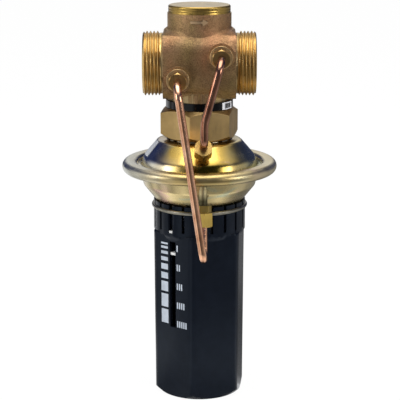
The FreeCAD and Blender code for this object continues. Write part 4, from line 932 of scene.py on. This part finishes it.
def makePaper():
    # white to the camera; mirrors see it lit close in front and on the left, dimmer right and dark behind
    facts = floorFacts
    paper = newMaterial("pale_floor", facts["colour"], 0.0, facts["roughness"])
    point = objectPoint(paper)
    place = splitPoint(paper, point)
    distance = vectorMath(paper, "LENGTH", point).outputs["Value"]
    level = vectorMath(paper, "NORMALIZE", objectPoint(paper, (1, 1, 0))).outputs["Vector"]
    heading = splitPoint(paper, level)
    leftward = spread(paper, heading["X"], 1, 0, -1, 0)
    backward = spread(paper, heading["Y"], 0, 1, 0, 1)

    def atDistance(name):
        return spread(paper, distance, *facts[name])

    corner = spread(paper, product(paper, heading["X"], backward), *facts["nearCorner"])
    light = product(paper, atDistance("near"), spread(paper, place["Y"], *facts["nearBack"]),
                    atDistance("nearFoot"), corner)
    left = product(paper, ramp(paper, leftward, facts["left"]), atDistance("leftFar"))
    leftNear = product(paper, ramp(paper, leftward, facts["leftNear"]), atDistance("leftNearReach"),
                       atDistance("leftNearFoot"))
    right = ramp(paper, heading["X"], facts["right"])
    back = spread(paper, heading["Y"], *facts["back"])
    for part in (left, leftNear, right, back):
        light = calculate(paper, "ADD", light, part)
    mirrored = addNode(paper, "ShaderNodeEmission", Color=(*facts["mirrored"], 1))
    join(paper, light, mirrored.inputs["Strength"])
    glow = addNode(paper, "ShaderNodeEmission", Strength=facts["glow"])
    path = addNode(paper, "ShaderNodeLightPath")
    share = calculate(paper, "MULTIPLY", path.outputs["Is Camera Ray"], facts["glowShare"])
    shader = paper.node_tree.nodes["Principled BSDF"]
    seen = mixShaders(paper, share, shader.outputs[0], glow.outputs[0])
    whole = mixShaders(paper, path.outputs["Is Glossy Ray"], seen, mirrored.outputs[0])
    join(paper, whole, paper.node_tree.nodes["Material Output"].inputs["Surface"])
    return paper


def makeFloor():
    facts = floorFacts
    bm = bmesh.new()
    bmesh.ops.create_grid(bm, x_segments=2, y_segments=2, size=facts["size"] / 2,
                          matrix=Matrix.Translation((0, 0, cadBox[0].z - facts["gap"])))
    mesh = bpy.data.meshes.new("floor")
    bm.to_mesh(mesh)
    bm.free()
    mesh.materials.append(makePaper())
    floor = bpy.data.objects.new("floor", mesh)
    scene.collection.objects.link(floor)


lampFacts = {
    "overhead": {"place": (0, -0.15, 1.25), "size": 1.3, "power": 16},
    "left": {"place": (-1.3, -0.7, 0.36), "size": 0.7, "power": 5.5},
    "right": {"place": (1.3, -0.9, 0.35), "size": 0.6, "power": 7},
}
lampAim = Vector((0, 0, -0.08))


def makeLamp(name):
    facts = lampFacts[name]
    data = bpy.data.lights.new(name, "AREA")
    data.shape = "SQUARE"
    data.size = facts["size"]
    data.energy = facts["power"]
    lamp = bpy.data.objects.new(name, data)
    lamp.location = facts["place"]
    aim = lampAim - lamp.location
    lamp.rotation_euler = aim.to_track_quat("-Z", "Y").to_euler()
    scene.collection.objects.link(lamp)


worldFacts = {
    "ambient": 0.45, "white": (1, 1, 1), "dark": (0.022, 0.035, 0.12),
    "ceiling": (0, 0.95, 0.58, 0.85),
    "sweep": (0, 0.95, 0.91, 0.985), "sweepFoot": (0, 1, 0.06, 0.2),
    "leftPanel": (0.85, 0, -0.97, -0.72), "rightPanel": (0, 0.5, 0.80, 0.97), "panelTop": (1, 0, 0.2, 0.5),
    "front": (0.12, 0, -0.8, -0.1),
}


def makeWorld():
    # white to the camera; mirrors see a white sweep behind, a pale ceiling, a panel each side and a dark room
    facts = worldFacts
    world = bpy.data.worlds.new("studio")
    scene.world = world
    world.use_nodes = True
    world.node_tree.nodes.clear()
    ray = addNode(world, "ShaderNodeTexCoord").outputs["Generated"]
    way = splitPoint(world, ray)
    level = vectorMath(world, "MULTIPLY", ray)
    level.inputs[1].default_value = (1, 1, 0)
    heading = splitPoint(world, vectorMath(world, "NORMALIZE", level.outputs["Vector"]).outputs["Vector"])

    def step(source, name):
        return spread(world, source, *facts[name], kind="SMOOTHSTEP")

    def background(colour, strength=1.0):
        node = addNode(world, "ShaderNodeBackground", Strength=strength)
        feed(world, colour, node.inputs["Color"])
        return node.outputs[0]

    bright = step(way["Z"], "ceiling")
    sweep = product(world, step(heading["Y"], "sweep"), step(way["Z"], "sweepFoot"))
    panelTop = step(way["Z"], "panelTop")
    leftPanel = product(world, step(way["X"], "leftPanel"), panelTop)
    rightPanel = product(world, step(way["X"], "rightPanel"), panelTop)
    for part in (sweep, leftPanel, rightPanel, step(way["Y"], "front")):
        bright = calculate(world, "MAXIMUM", bright, part)
    mirrored = blendColours(world, bright, facts["dark"], facts["white"])
    path = addNode(world, "ShaderNodeLightPath").outputs
    shiny = calculate(world, "MAXIMUM", path["Is Glossy Ray"], path["Is Transmission Ray"])
    bounced = mixShaders(world, shiny, background(facts["white"], facts["ambient"]), background(mirrored))
    seen = mixShaders(world, path["Is Camera Ray"], bounced, background(facts["white"]))
    join(world, seen, addNode(world, "ShaderNodeOutputWorld").inputs["Surface"])


cameraFacts = {
    "place": (0.00036, -0.901, 0.126), "tiltDegrees": 13.6, "lens": 124.8, "sensor": 36, "clipStart": 0.01,
}


def makeCamera():
    facts = cameraFacts
    data = bpy.data.cameras.new("photo_camera")
    data.lens = facts["lens"]
    data.sensor_width = facts["sensor"]
    data.sensor_fit = "HORIZONTAL"
    data.clip_start = facts["clipStart"]
    camera = bpy.data.objects.new("photo_camera", data)
    camera.location = facts["place"]
    camera.rotation_euler = (math.radians(90 - facts["tiltDegrees"]), 0, 0)
    scene.collection.objects.link(camera)
    scene.camera = camera


makeFloor()
for lampName in lampFacts:
    makeLamp(lampName)
makeWorld()
makeCamera()
print("studio ready")
